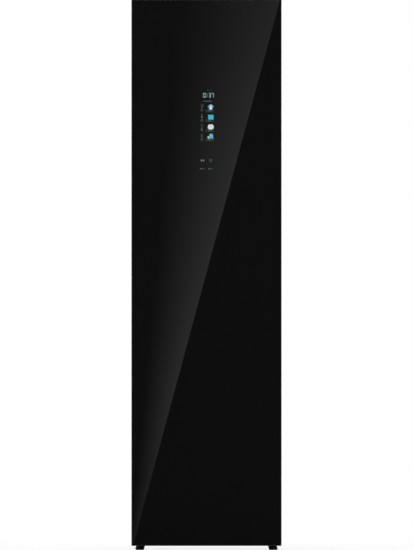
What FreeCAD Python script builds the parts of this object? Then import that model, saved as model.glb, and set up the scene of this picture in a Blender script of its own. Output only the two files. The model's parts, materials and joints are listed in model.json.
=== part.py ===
"""Clothes care steam cabinet: a free-standing wardrobe that steams, shakes and dries garments.

A steel cabinet on four feet holds a moulded chamber above a machine room. One full-height
door with a glass front closes both. The chamber has a hanger rail that a crank shakes from
side to side, a shelf, an air panel and a lint filter in its floor. The machine room has two
water tanks in a bay, a steam boiler, two pumps and a heat pump with its fan.

Frame: X to the right seen from the front, Y to the back, Z up, millimetres. The origin is on
the floor, under the middle of the closed cabinet.
"""

import FreeCAD, Part
import math
import os
import re
import Sketcher

V = FreeCAD.Vector

SIZES = dict(
    # whole cabinet
    total_width=504,  # door from side to side
    total_depth=600,  # glass to the heads of the rear screws
    total_height=1850,
    foot_gap=15,  # floor to the underside of the door
    # door
    door_thick=44,
    seal_gap=8,  # door's inner face to the cabinet's front, bridged by the gasket
    glass_thick=4,
    glass_border=3,  # edge of the frame that shows round the glass
    glass_sink=0.4,  # the glass lies this far below that edge
    door_corner=2,
    rail_width=12,  # rails of the door frame
    skin_thick=2.5,  # inner panel
    skin_inset=1,
    field_height=20,  # raised field of the inner panel
    field_margin=17,  # chamber opening to the raised field
    field_round=10,
    field_edge=5,
    grip_depth=9,  # finger groove in the door's free edge
    grip_width=18,
    grip_length=520,
    grip_middle=960,
    grip_lip=4,
    # hinges
    pin_inset=18,  # door's hinged edge to the pin's axis
    pin_depth=24,  # glass edge to the pin's axis
    pin_radius=4,
    pin_reach=20,  # pin below or above its arm
    arm_width=20,
    arm_thick=4,
    arm_lift=4,  # arm to the bottom of its notch in the door
    notch_width=34,
    block_side=10,
    block_height=30,
    foot_plate_width=60,
    foot_plate_depth=55,
    hinge_plate_height=12,
    hinge_plate_thick=2,
    running_gap=0.05,
    rest_gap=0.3,  # between pieces that slide or lie on each other
    # gasket
    gasket_width=16,
    gasket_offset=5,  # chamber opening to the gasket
    gasket_neck=8,
    gasket_neck_height=3,
    # display behind the glass
    display_left=-34,
    display_right=46,
    display_drop=280,  # door's top to the display
    display_length=350,
    display_depth=18,
    display_rib=4,
    # trouser press on the door
    press_width=236,
    press_low=620,
    press_height=700,
    press_pad_thick=6,
    press_gap=1,
    press_plate_thick=12,
    press_rim=4,
    press_wall=3,
    press_round=10,
    press_pin_radius=2,
    press_knuckle=5,
    press_knuckle_height=14,
    press_hinge_offset=12,  # plate's edge to the pins' axis
    press_hinge_depth=10,
    press_ear=6,
    press_ear_inset=60,
    # trouser hook and scent box on the door
    hook_low=1372,
    hook_width=12,
    hook_reach=30,
    hook_lip=18,
    hook_bar=6,
    hook_plate_width=34,
    hook_plate_height=46,
    hook_plate_thick=3,
    scent_low=482,
    scent_width=120,
    scent_height=76,
    scent_depth=18,
    scent_slot=4,
    scent_slot_depth=6,
    # cabinet shell
    door_overhang=2,  # door past the case on each side
    case_bottom=18,
    case_steel=1,
    rear_flange=14,
    cover_height=20,  # moulded cover on top of the case
    cover_wall=2.5,
    cover_round=5,
    frame_steel=1.5,  # pressed front frame
    opening_round=8,
    screw_head=2,
    screw_radius=4,
    screw_rows=6,
    louvre_width=84,
    louvre_height=6,
    louvre_pitch=18,
    louvre_rows=9,
    louvre_low=110,
    louvre_step=112,
    pan_height=22,
    pan_steel=1.5,
    felt_thick=15,
    felt_margin=18,
    # chamber
    chamber_side=38,  # case to the chamber's side wall
    chamber_rear=73.5,  # chamber's back wall to the rear panel
    chamber_floor=420,
    roof_room=98,  # chamber's ceiling to the roof
    liner_wall=2.5,
    liner_flange=10,
    tray_side=8,  # chamber's side wall to the floor tray
    tray_margin=16,  # tray past the filter in front and the steam outlet behind
    ledge_reach=9,
    ledge_thick=6,
    ledge_low=540,
    ledge_step=360,
    ledge_inset=36,  # front and rear ends of the ledges to the chamber's ends
    rib_width=5,
    rib_height=2,
    rib_pitch=44,
    rib_count=8,
    rib_low=960,
    rib_drop=132,
    # air panel at the chamber's back
    air_panel_width=260,
    air_panel_depth=18,
    air_panel_foot=14,
    air_panel_drop=148,
    air_slot_height=7,
    air_slot_pitch=20,
    air_slot_count=7,
    air_slot_margin=26,
    port_width=84,
    port_low=448,
    port_height=56,
    # shelf
    shelf_thick=6,
    shelf_gap=4,
    shelf_corner=14,
    shelf_rim=22,
    shelf_spine=24,
    shelf_slot=9,
    shelf_slot_pitch=20,
    shelf_slot_count=17,
    shelf_lip=3,
    shelf_lip_height=9,
    # hanger rail and its drive
    rail_side=42,  # chamber's wall to the rail's end
    rail_height=30,
    rail_thick=18,
    rail_drop=42,  # chamber's ceiling to the top of the rail
    rail_notches=7,
    rail_notch_pitch=40,
    rail_notch_width=9,
    rail_notch_depth=4,
    shake=12,  # travel of the rail to each side
    post_radius=6,
    post_spread=60,
    post_gap=2,
    hood_side=34,  # chamber's wall to the hood under the ceiling
    hood_depth=124,
    hood_height=28,
    hood_round=12,
    lamp_width=190,
    lamp_depth=14,
    lamp_inset=50,
    lamp_sink=4,
    drive_steel=2.5,
    drive_left=150,
    drive_right=170,
    drive_front=70,
    drive_back=70,
    rod_radius=4,
    rod_spread=30,
    rod_height=15,
    rod_reach=109,
    rod_block=12,
    rod_block_depth=16,
    rod_block_height=20,
    slider_half_width=75,
    slider_half_depth=42,
    slider_thick=4,
    slider_bush=20,
    slider_bush_x=52,
    crank_pin_radius=4,
    crank_pin_gap=0.4,
    crank_pin_length=6,
    crank_disc_radius=20,
    crank_disc_thick=6,
    pulley_flange=2,
    belt_width=9,
    belt_thick=2,
    crank_pulley_radius=36,
    motor_pulley_radius=12,
    pulley_lip=2.5,
    crank_shaft_radius=5,
    crank_shaft_length=26,
    bridge_half_width=22,
    bridge_half_depth=54,
    bridge_steel=3,
    bush_wall=3,
    bush_flange=3,
    bush_height=10,
    motor_x=140,
    motor_radius=22,
    motor_height=34,
    motor_shaft_radius=3,
    control_side=17,
    control_width=150,
    control_rear=14,
    control_depth=100,
    control_height=48,
    control_wall=2,
    # lint filter in the chamber's floor
    filter_width=176,
    filter_setback=41.5,
    filter_depth=55,
    filter_height=96,
    filter_gap=1,
    filter_wall=3,
    filter_rim=5,
    filter_rim_thick=3,
    filter_grip=70,
    filter_grip_thick=3,
    filter_grip_height=14,
    mesh_thick=0.8,
    well_wall=2,
    well_height=112,
    # steam outlet in the chamber's floor
    outlet_side=46,
    outlet_setback=20,
    outlet_width=66,
    outlet_depth=44,
    outlet_rim=4,
    outlet_rim_thick=2.5,
    outlet_cup=14,
    outlet_slots=5,
    outlet_slot_width=4,
    outlet_slot_pitch=12,
    spigot_radius=7,
    spigot_length=10,
    # tank bay and tanks
    bay_side=50,  # case to the bay
    bay_depth=112,
    bay_floor=60,
    bay_height=230,
    bay_wall=2.5,
    bay_rib=3,
    tank_gap=5,
    tank_recess=6,
    tank_depth=100,
    tank_height=196,
    tank_wall=2.5,
    tank_round=8,
    lid_height=9,
    lid_rim=1.5,
    lid_cap_radius=19,
    lid_cap_height=6,
    tank_grip_width=96,
    tank_grip_height=34,
    tank_grip_depth=22,
    tank_grip_drop=18,
    # feet
    foot_radius=15,
    foot_edge=3,  # bevel under the rim
    foot_rim=7,  # floor to the top of the rim
    foot_crown=9,  # radius where the dome ends
    foot_dome=14,  # floor to the end of the dome
    foot_neck=5,
    stud_radius=4,
    stud_length=26,
    foot_inset=28,
    foot_front=36,
    foot_back=40,
    foot_boss=9,
    # machine room
    room_gap=3,  # between neighbours in the machine room
    duct_width=180,
    duct_low=200,
    duct_wall=2,
    coil_width=172,
    coil_depth=44,
    coil_height=190,
    coil_plate=3,
    coil_fin=1.2,
    coil_fins=22,
    coil_space=36,  # between the two coils
    fan_height=300,
    fan_depth=62,
    fan_wall=2,
    scroll_top_radius=68,
    scroll_right_radius=74,
    scroll_bottom_radius=82,
    scroll_left_radius=90,
    scroll_tongue_width=8,
    inlet_radius=44,
    wheel_radius=60,
    wheel_eye=42,
    wheel_depth=32,
    wheel_plate=2,
    wheel_blades=16,
    wheel_blade_thick=1.5,
    wheel_hub=9,
    wheel_front_gap=6,
    fan_shaft_radius=3,
    fan_motor_radius=26,
    fan_motor_depth=16,
    boiler_inset=39,  # boiler's left side to the steam outlet
    boiler_width=124,
    boiler_depth=100,
    boiler_height=120,
    boiler_foot=14,
    boiler_foot_radius=7,
    boiler_flange=5,
    boiler_flange_thick=6,
    hose_radius=9,
    pump_pitch=90,
    pump_setback=6,
    pump_radius=18,
    pump_length=66,
    pump_saddle=10,
    compressor_side=18,
    compressor_rear=51,
    compressor_radius=54,
    compressor_height=190,
    compressor_dome=20,
    compressor_plate=3,
    compressor_plate_half=66,
    compressor_foot=12,
    compressor_foot_radius=9,
    receiver_radius=18,
    receiver_height=110,
    pipe_radius=4,
    pipe_bend=16,
    inlet_side=72,
    inlet_z=62,
    inlet_width=50,
    inlet_height=28,
    inlet_depth=24,
    inlet_flange=2,
    inlet_recess=16,
)

# Places that follow from the sizes. Each is a formula in size names and other places.
PLACES = dict(
    half_door="total_width / 2",
    half_case="half_door - door_overhang",
    door_front="-total_depth / 2",
    door_back="door_front + door_thick",
    door_bottom="foot_gap",
    door_top="total_height",
    glass_front="door_front + glass_sink",
    glass_back="glass_front + glass_thick",
    skin_front="door_back - skin_thick",
    rail_in="half_door - rail_width",
    field_x="half_chamber - field_margin",
    field_low="chamber_floor + field_margin",
    field_high="chamber_top - field_margin",
    field_back="door_back + field_height",
    pin_x="half_door - pin_inset",
    pin_y="door_front + pin_depth",
    notch_x="half_door - notch_width",
    notch_top="door_top - arm_thick - cover_height",
    notch_bottom="door_bottom + arm_thick + cover_height",
    block_x="notch_x - block_side",
    bore_radius="pin_radius + running_gap",
    front_y="door_back + seal_gap",
    frame_back="front_y + frame_steel",
    back_y="total_depth / 2 - screw_head",
    panel_front="back_y - case_steel",
    case_in="half_case - case_steel",
    case_top="total_height - cover_height",
    roof_in="case_top - case_steel",
    half_chamber="half_case - chamber_side",
    chamber_back="panel_front - chamber_rear",
    chamber_top="case_top - roof_room",
    liner_back="chamber_back + liner_wall",
    liner_side="half_chamber + liner_wall",
    liner_roof="chamber_top + liner_wall",
    liner_base="chamber_floor - liner_wall",
    half_bay="half_case - bay_side",
    bay_top="bay_floor + bay_height",
    bay_back="frame_back + bay_depth",
    pan_floor="case_bottom + pan_steel",
    duct_top="liner_base",
    outlet_x="outlet_side - half_chamber",
    outlet_y="duct_front + outlet_setback",
    duct_x="outlet_x + outlet_width / 2 + room_gap",
    duct_middle="duct_x + duct_width / 2",
    duct_end="duct_x + duct_width",
    duct_front="bay_back + bay_wall",
    throat_low="bay_top + bay_wall + room_gap",
    evaporator_front="duct_front + duct_wall + room_gap",
    condenser_front="evaporator_front + coil_depth + coil_space",
    filter_front="frame_back + filter_setback",
    filter_back="filter_front + filter_depth",
    well_back="filter_back + filter_gap + well_wall",
    display_high="door_top - display_drop",
    display_low="display_high - display_length",
    half_press="press_width / 2",
    press_top="press_low + press_height",
    pad_back="field_back + press_pad_thick",
    plate_front="pad_back + press_gap",
    plate_back="plate_front + press_plate_thick",
    press_pin_x="half_press + press_hinge_offset",
    press_pin_y="field_back + press_hinge_depth",
    half_rail="half_chamber - rail_side",
    rail_top="chamber_top - rail_drop",
    rail_middle="rail_top - rail_height / 2",
    drive_top="liner_roof + drive_steel",
    rod_z="drive_top + rod_height",
    slider_low="rod_z + rod_radius + shake / 6",
    slider_top="slider_low + slider_thick",
    disc_low="slider_top + crank_pin_gap + crank_pin_length",
    pulley_low="disc_low + crank_disc_thick",
    belt_low="pulley_low + pulley_flange + running_gap",
    pulley_top="pulley_low + pulley_flange * 2 + belt_width + running_gap * 2",
    bridge_top="pulley_top + crank_shaft_length - bush_flange",
    slot_half="shake + post_radius + post_gap",
    tank_front="front_y + tank_recess",
    tank_width="half_bay - tank_gap * 3 / 2",
    tank_low="bay_floor + bay_rib + rest_gap",
    tank_top="tank_low + tank_height",
    shelf_low="ledge_low + ledge_thick + rest_gap",
    shelf_top="shelf_low + shelf_thick",
    shelf_front="frame_back + ledge_inset",
    shelf_back="chamber_back - ledge_inset",
    half_shelf="half_chamber - shelf_gap",
    foot_x="half_door - foot_inset",
    foot_front_y="front_y + foot_front",
    foot_back_y="back_y - foot_back",
    fan_front="liner_back",
    fan_back="liner_back + fan_depth",
    wheel_front="fan_front + fan_wall + wheel_front_gap",
    wheel_back="wheel_front + wheel_depth",
    boiler_left="outlet_x - boiler_inset",
    boiler_front="duct_front + room_gap + boiler_flange",
    boiler_low="pan_floor + boiler_foot",
    boiler_top="boiler_low + boiler_height",
    pump_left="boiler_left + boiler_width + boiler_flange + room_gap + pump_radius",
    pump_right="pump_left + pump_pitch",
    pump_front="duct_front + pump_setback",
    compressor_x="case_in - compressor_plate_half - compressor_side",
    compressor_y="panel_front - compressor_plate_half - compressor_rear",
    compressor_low="pan_floor + compressor_foot + compressor_plate",
    receiver_y="compressor_y - compressor_radius - receiver_radius",
    receiver_low="compressor_low + compressor_height / 4",
    control_left="control_side - half_chamber",
    control_front="liner_back - control_rear - control_depth",
    inlet_x="inlet_side - half_case",
)

doc = FreeCAD.newDocument("steam_cabinet")
sheet = doc.addObject("Spreadsheet::Sheet", "size")
for row, (name, number) in enumerate(SIZES.items(), start=1):
    sheet.set(f"A{row}", name)
    sheet.set(f"B{row}", str(number))
    sheet.setAlias(f"B{row}", name)
doc.recompute()

WORD = re.compile(r"[a-z][a-z_]*")
PLANES = {"XY": "XY_Plane", "XZ": "XZ_Plane", "YZ": "YZ_Plane"}
SIDE = {"XY": 1, "XZ": -1, "YZ": 1}  # which way along its axis a plane faces
AXES = {"X": V(1, 0, 0), "Y": V(0, 1, 0), "Z": V(0, 0, 1)}
sub_parts = []


def spell(formula):
    """The formula as FreeCAD reads it: places written out and every size named in the sheet."""

    def word(found):
        name = found.group()
        if name in PLACES:
            return f"({spell(PLACES[name])})"
        return f"size.{name}" if name in SIZES else name

    return WORD.sub(word, str(formula))


def value(formula):
    """The formula's number, as the sheet stands."""
    return float(sheet.evalExpression(spell(formula)))


def bind(item, prop, formula):
    """Ties a property to a formula."""
    item.setExpression(prop, spell(formula))


def place(item, x, y, z):
    """Ties where an object stands to three formulas."""
    for letter, formula in zip("xyz", (x, y, z)):
        bind(item, f"Placement.Base.{letter}", formula)


def rect(left, low, right, high):
    """A rectangle's outline."""
    return [(left, low), (right, low), (right, high), (left, high)]


def around(half, low, high):
    """A rectangle's outline, the same to both sides of the middle plane."""
    return rect(f"-({half})", low, half, high)


class Piece:
    """One piece as a PartDesign body, grown feature by feature.

    An outline is a list of corners, each two formulas, or one circle as (across, up, radius).
    A feature runs between two places along the axis that its plane faces.
    """

    def __init__(self, label):
        self.body = doc.addObject("PartDesign::Body", label)
        self.body.Label = label
        self.drawing = None

    def sketch(self, plane, at, outlines):
        role = PLANES[plane]
        base = next(f for f in self.body.Origin.OriginFeatures if f.Role == role)
        drawing = self.body.newObject("Sketcher::SketchObject", "outline")
        drawing.AttachmentSupport = [(base, "")]
        drawing.MapMode = "FlatFace"
        bind(drawing, "AttachmentOffset.Base.z", f"({at}) * {SIDE[plane]}")
        for outline in outlines:
            if isinstance(outline, tuple):
                self.circle(drawing, *outline)
            else:
                self.polygon(drawing, outline)
        self.drawing = drawing
        return drawing

    @staticmethod
    def hold(drawing, kind, line, end, formula):
        """One distance from the origin, tied to its formula."""
        where = (kind, -1, 1, line, end, value(formula))
        number = drawing.addConstraint(Sketcher.Constraint(*where))
        bind(drawing, f"Constraints[{number}]", formula)

    def polygon(self, drawing, corners):
        points = [V(value(a), value(b), 0) for a, b in corners]
        first = drawing.GeometryCount
        count = len(points)
        for i in range(count):
            line = Part.LineSegment(points[i], points[(i + 1) % count])
            drawing.addGeometry(line, False)
        for i in range(count):
            joint = ("Coincident", first + i, 2, first + (i + 1) % count, 1)
            drawing.addConstraint(Sketcher.Constraint(*joint))
        for i, (across, up) in enumerate(corners):
            self.hold(drawing, "DistanceX", first + i, 1, across)
            self.hold(drawing, "DistanceY", first + i, 1, up)

    def circle(self, drawing, across, up, radius):
        ring = Part.Circle(V(value(across), value(up), 0), V(0, 0, 1), value(radius))
        number = drawing.addGeometry(ring, False)
        self.hold(drawing, "DistanceX", number, 3, across)
        self.hold(drawing, "DistanceY", number, 3, up)
        size = Sketcher.Constraint("Radius", number, value(radius))
        bind(drawing, f"Constraints[{drawing.addConstraint(size)}]", radius)

    def feature(self, kind, plane, start, end, outlines, turned):
        drawing = self.sketch(plane, start, outlines)
        made = self.body.newObject(f"PartDesign::{kind}", kind.lower())
        made.Profile = drawing
        made.Reversed = turned
        bind(made, "Length", f"({end}) - ({start})")
        return made

    def pad(self, plane, start, end, *outlines):
        turned = SIDE[plane] < 0
        return self.feature("Pad", plane, start, end, outlines, turned)

    def pocket(self, plane, start, end, *outlines):
        """Cuts, and stops the build if nothing came off."""
        doc.recompute()
        before = self.body.Shape.Volume
        turned = SIDE[plane] > 0
        made = self.feature("Pocket", plane, start, end, outlines, turned)
        doc.recompute()
        if self.body.Shape.Volume >= before:
            raise RuntimeError(f"a pocket of {self.body.Label} cuts nothing")
        return made

    def turn(self, corners):
        """Turns a half outline of (radius, height) corners about the body's Z axis."""
        drawing = self.sketch("XZ", 0, [corners])
        made = self.body.newObject("PartDesign::Revolution", "revolution")
        made.Profile = drawing
        made.ReferenceAxis = (drawing, ["V_Axis"])
        made.Angle = 360
        return made

    def repeat(self, made, line, pitch, count):
        """Copies a feature along the H, V or N axis of the last sketch."""
        pattern = self.body.newObject("PartDesign::LinearPattern", "row")
        pattern.Originals = [made]
        pattern.Direction = (self.drawing, [f"{line}_Axis"])
        bind(pattern, "Length", f"({pitch}) * (({count}) - 1)")
        bind(pattern, "Occurrences", count)
        self.body.Tip = pattern
        return pattern

    def circle_of(self, made, count):
        """Copies a feature round the normal of the last sketch."""
        pattern = self.body.newObject("PartDesign::PolarPattern", "circle")
        pattern.Originals = [made]
        pattern.Axis = (self.drawing, ["N_Axis"])
        pattern.Angle = 360
        bind(pattern, "Occurrences", count)
        self.body.Tip = pattern
        return pattern

    def round_off(self, radius, along, **where):
        """Rounds the straight edges along one axis whose middles lie where asked."""
        doc.recompute()
        wanted = {letter: value(formula) for letter, formula in where.items()}
        grown = self.body.Tip
        names = []
        for number, edge in enumerate(grown.Shape.Edges, start=1):
            if lies(edge, AXES[along], wanted):
                names.append(f"Edge{number}")
        made = self.body.newObject("PartDesign::Fillet", "round")
        made.Base = (grown, names)
        bind(made, "Radius", radius)
        return made

    def stand(self, x, y, z, facing="Z"):
        """Stands the finished body somewhere, with its Z axis along another."""
        turn = FreeCAD.Rotation(AXES["Z"], AXES[facing])
        self.body.Placement = FreeCAD.Placement(V(), turn)
        place(self.body, x, y, z)
        return self.body

    def done(self):
        sub_parts.append(self.body)
        return self.body


def lies(edge, direction, wanted):
    """Whether a straight edge runs along a direction, with its middle on each wanted place.

    A wanted number counts on both sides of the middle plane, so that mirrored edges match."""
    if not isinstance(edge.Curve, Part.Line):
        return False
    if abs(abs(edge.Curve.Direction.dot(direction)) - 1) > 1e-6:
        return False
    middle = edge.valueAt((edge.FirstParameter + edge.LastParameter) / 2)
    near = dict(x=abs(middle.x), y=middle.y, z=middle.z)
    return all(abs(near[letter] - number) < 1e-3 for letter, number in wanted.items())


def block(label, left, right, front, back, low, high):
    """A plain box between six places."""
    box = doc.addObject("Part::Box", label)
    box.Label = label
    bind(box, "Length", f"({right}) - ({left})")
    bind(box, "Width", f"({back}) - ({front})")
    bind(box, "Height", f"({high}) - ({low})")
    place(box, left, front, low)
    return box


def rod(label, radius, length, x, y, z, facing="Z"):
    """A plain cylinder from a point along an axis."""
    made = doc.addObject("Part::Cylinder", label)
    made.Label = label
    bind(made, "Radius", radius)
    bind(made, "Height", length)
    made.Placement = FreeCAD.Placement(V(), FreeCAD.Rotation(AXES["Z"], AXES[facing]))
    place(made, x, y, z)
    return made


def fused(label, *items):
    """Several objects as one solid."""
    made = doc.addObject("Part::MultiFuse", label)
    made.Label = label
    made.Shapes = list(items)
    return made


def group(label, *items):
    """Several separate solids in one node."""
    made = doc.addObject("Part::Compound", label)
    made.Label = label
    made.Links = list(items)
    sub_parts.append(made)
    return made


def shaped(label, shape):
    """A piece whose shape is worked out here from the sheet's numbers."""
    made = doc.addObject("Part::Feature", label)
    made.Label = label
    made.Shape = shape
    return made


def bent_tube(points, radius, bend):
    """A round bar that follows straight runs joined by tangent arcs."""
    edges = []
    start = points[0]
    for before, corner, after in zip(points, points[1:], points[2:]):
        back = (before - corner).normalize()
        ahead = (after - corner).normalize()
        half = back.getAngle(ahead) / 2
        leg = bend / math.tan(half)
        first = corner + back * leg
        last = corner + ahead * leg
        inward = (back + ahead).normalize()
        middle = corner + inward * (bend / math.sin(half) - bend)
        edges.append(Part.LineSegment(start, first).toShape())
        edges.append(Part.Arc(first, middle, last).toShape())
        start = last
    edges.append(Part.LineSegment(start, points[-1]).toShape())
    path = Part.Wire(edges)
    run = (points[1] - points[0]).normalize()
    end = Part.Wire([Part.Circle(points[0], run, radius).toShape()])
    return path.makePipeShell([end], True, False)


# ---------------------------------------------------------------- door


def door_glass():
    """Toughened glass front, set into the frame."""
    glass = Piece("door_glass")
    edge = "half_door - glass_border"
    low = "door_bottom + glass_border"
    high = "door_top - glass_border"
    glass.pad("XZ", "glass_front", "glass_back", around(edge, low, high))
    glass.round_off("door_corner", "Y", x=edge, z=low)
    glass.round_off("door_corner", "Y", x=edge, z=high)
    glass.done()


def door_frame():
    """Four rails with a seat for the glass, hinge notches and a groove for the fingers."""
    frame = Piece("door_frame")
    frame.pad("XZ", "door_front", "skin_front", around("half_door", "door_bottom", "door_top"))
    frame.round_off("door_corner", "Y", x="half_door", z="door_bottom")
    frame.round_off("door_corner", "Y", x="half_door", z="door_top")
    seat = around(
        "half_door - glass_border", "door_bottom + glass_border", "door_top - glass_border"
    )
    frame.pocket("XZ", "door_front", "glass_back", seat)
    inside = around("rail_in", "door_bottom + rail_width", "door_top - rail_width")
    frame.pocket("XZ", "glass_back", "skin_front", inside)
    notch = rect("notch_x", "glass_back", "half_door", "skin_front")
    frame.pocket("XY", "notch_top", "door_top", notch)
    frame.pocket("XY", "door_bottom", "notch_bottom", notch)
    grip = rect(
        "glass_back + grip_lip",
        "grip_middle - grip_length / 2",
        "glass_back + grip_lip + grip_width",
        "grip_middle + grip_length / 2",
    )
    frame.pocket("YZ", "-half_door", "grip_depth - half_door", grip)
    frame.done()


def notched_panel(inset):
    """Outline of the door's inner panel, cut away at both hinges."""
    left = f"{inset} - half_door"
    right = f"half_door - {inset}"
    low = f"door_bottom + {inset}"
    high = f"door_top - {inset}"
    lower_step = [("notch_x", low), ("notch_x", "notch_bottom"), (right, "notch_bottom")]
    upper_step = [(right, "notch_top"), ("notch_x", "notch_top"), ("notch_x", high)]
    return [(left, low), *lower_step, *upper_step, (left, high)]


def door_liner():
    """Moulded inner panel with a raised field that enters the chamber."""
    liner = Piece("door_liner")
    liner.pad("XZ", "skin_front", "door_back", notched_panel("skin_inset"))
    field = around("field_x", "field_low", "field_high")
    liner.pad("XZ", "door_back", "field_back", field)
    liner.round_off("field_round", "Y", x="field_x")
    liner.round_off("field_edge", "X", y="field_back", z="field_high")
    inside = around(
        "field_x - field_edge - skin_thick",
        "field_low + field_edge + skin_thick",
        "field_high - field_edge - skin_thick",
    )
    liner.pocket("XZ", "skin_front", "field_back - skin_thick", inside)
    liner.done()


def door_foam():
    """Foam core between the glass and the inner panel, cut out for the hinges and display."""
    foam = Piece("door_foam")
    low = "door_bottom + rail_width"
    high = "door_top - rail_width"
    lower_step = [
        ("block_x", low),
        ("block_x", "notch_bottom + block_height"),
        ("rail_in", "notch_bottom + block_height"),
    ]
    upper_step = [
        ("rail_in", "notch_top - block_height"),
        ("block_x", "notch_top - block_height"),
        ("block_x", high),
    ]
    outline = [("-rail_in", low), *lower_step, *upper_step, ("-rail_in", high)]
    foam.pad("XZ", "glass_back", "skin_front", outline)
    window = rect("display_left", "display_low", "display_right", "display_high")
    foam.pocket("XZ", "glass_back", "glass_back + display_depth", window)
    foam.done()


def display_module():
    """Lit display and touch board in its housing, against the back of the glass."""
    module = Piece("display_module")
    window = rect("display_left", "display_low", "display_right", "display_high")
    module.pad("XZ", "glass_back", "glass_back + display_depth - display_rib", window)
    rib = rect(
        "display_left + display_rib * 3",
        "display_low + display_rib * 3",
        "display_right - display_rib * 3",
        "display_high - display_rib * 3",
    )
    ledge = "glass_back + display_depth - display_rib"
    module.pad("XZ", ledge, "glass_back + display_depth", rib)
    module.done()


def door_gasket():
    """Magnetic seal round the chamber: a neck on the door and a wide bulb."""
    gasket = Piece("door_gasket")

    def ring(width):
        """Two outlines, a strip of this width along the gasket's middle line."""
        offset = "gasket_offset + gasket_width / 2"
        out = f"{offset} + ({width}) / 2"
        inn = f"{offset} - ({width}) / 2"
        outer = around(
            f"half_chamber + {out}", f"chamber_floor - ({out})", f"chamber_top + {out}"
        )
        inner = around(
            f"half_chamber + {inn}", f"chamber_floor - ({inn})", f"chamber_top + {inn}"
        )
        return outer, inner

    neck_end = "door_back + gasket_neck_height"
    gasket.pad("XZ", "door_back", neck_end, *ring("gasket_neck"))
    gasket.pad("XZ", neck_end, "front_y - rest_gap", *ring("gasket_width"))
    gasket.done()


def hinge_blocks():
    """Blocks in the door's hinged corners, each bored for a hinge pin."""
    blocks = []
    for name, step, sign in (("upper", "notch_top", "-"), ("lower", "notch_bottom", "+")):
        edge = "door_top - rail_width" if name == "upper" else "door_bottom + rail_width"
        foot = f"{step} {sign} block_height"
        outline = [
            ("block_x", foot),
            ("rail_in", foot),
            ("rail_in", step),
            ("notch_x", step),
            ("notch_x", edge),
            ("block_x", edge),
        ]
        made = Piece(f"{name}_block")
        made.pad("XZ", "glass_back", "skin_front", outline)
        bore = ("pin_x", "pin_y", "bore_radius")
        start, end = sorted((foot, step), key=value)
        made.pocket("XY", start, end, bore)
        blocks.append(made.body)
    group("hinge_blocks", *blocks)


def trouser_press():
    """Padded board and a hinged plate that holds trousers flat against it."""
    board = Piece("press_pad")
    outline = around("half_press", "press_low", "press_top")
    board.pad("XZ", "field_back", "pad_back", outline)
    board.round_off("press_round", "Y", x="half_press")
    board.done()

    plate = Piece("press_plate")
    plate.pad("XZ", "plate_front", "plate_back", outline)
    plate.round_off("press_round", "Y", x="half_press")
    dish = around(
        "half_press - press_rim", "press_low + press_rim", "press_top - press_rim"
    )
    plate.pocket("XZ", "plate_front + press_wall", "plate_back", dish)
    rib_half = "press_wall / 2"
    for across in ("-half_press / 2", "0", "half_press / 2"):
        rib = rect(
            f"{across} - {rib_half}",
            "press_low + press_rim",
            f"{across} + {rib_half}",
            "press_top - press_rim",
        )
        plate.pad("XZ", "plate_front + press_wall", "plate_back - press_wall", rib)
    low = "press_low + press_ear_inset"
    high = "press_top - press_ear_inset"
    seats = (
        (f"{low} + rest_gap", f"{low} + rest_gap + press_knuckle_height"),
        (f"{high} - rest_gap - press_knuckle_height", f"{high} - rest_gap"),
    )
    leaf = rect(
        "half_press - press_rim", "press_pin_y", "press_pin_x", "press_pin_y + press_knuckle"
    )
    for start, end in seats:
        plate.pad("XY", start, end, ("press_pin_x", "press_pin_y", "press_knuckle"))
        plate.pad("XY", start, end, leaf)
    bore = ("press_pin_x", "press_pin_y", "press_pin_radius + running_gap")
    plate.pocket("XY", "press_low", "press_top", bore)
    plate.done()

    ears = []
    base = rect(
        "press_pin_x - press_knuckle",
        "field_back",
        "press_pin_x + press_knuckle",
        "press_pin_y + press_knuckle",
    )
    pin = ("press_pin_x", "press_pin_y", "press_pin_radius")
    reach = "press_knuckle_height + rest_gap"
    lower = Piece("lower_ear")
    lower.pad("XY", f"{low} - press_ear", low, base)
    lower.pad("XY", low, f"{low} + {reach}", pin)
    ears.append(lower.body)
    upper = Piece("upper_ear")
    upper.pad("XY", high, f"{high} + press_ear", base)
    upper.pad("XY", f"{high} - ({reach})", high, pin)
    ears.append(upper.body)
    group("press_brackets", *ears)


def trouser_hook():
    """Hook above the press for the trousers' own hanger."""
    hook = Piece("trouser_hook")
    back = around(
        "hook_plate_width / 2",
        "hook_low - hook_plate_height / 3",
        "hook_low + hook_plate_height * 2 / 3",
    )
    hook.pad("XZ", "field_back", "field_back + hook_plate_thick", back)
    front = "field_back + hook_plate_thick"
    arm = [
        (front, "hook_low"),
        ("field_back + hook_reach", "hook_low"),
        ("field_back + hook_reach", "hook_low + hook_bar + hook_lip"),
        ("field_back + hook_reach - hook_bar", "hook_low + hook_bar + hook_lip"),
        ("field_back + hook_reach - hook_bar", "hook_low + hook_bar"),
        (front, "hook_low + hook_bar"),
    ]
    hook.pad("YZ", "-hook_width / 2", "hook_width / 2", arm)
    hook.done()


def scent_box():
    """Slotted box for a scent sheet."""
    box = Piece("scent_box")
    outline = around("scent_width / 2", "scent_low", "scent_low + scent_height")
    box.pad("XZ", "field_back", "field_back + scent_depth", outline)
    face = "field_back + scent_depth"
    box.round_off("field_edge", "Y", x="scent_width / 2")
    slot = rect(
        "-scent_width / 3",
        "scent_low + scent_slot * 3",
        "scent_width / 3",
        "scent_low + scent_slot * 4",
    )
    cut = box.pocket("XZ", f"{face} - scent_slot_depth", face, slot)
    box.repeat(cut, "V", "scent_slot * 3", "5")
    box.done()


# ---------------------------------------------------------------- cabinet shell


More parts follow.
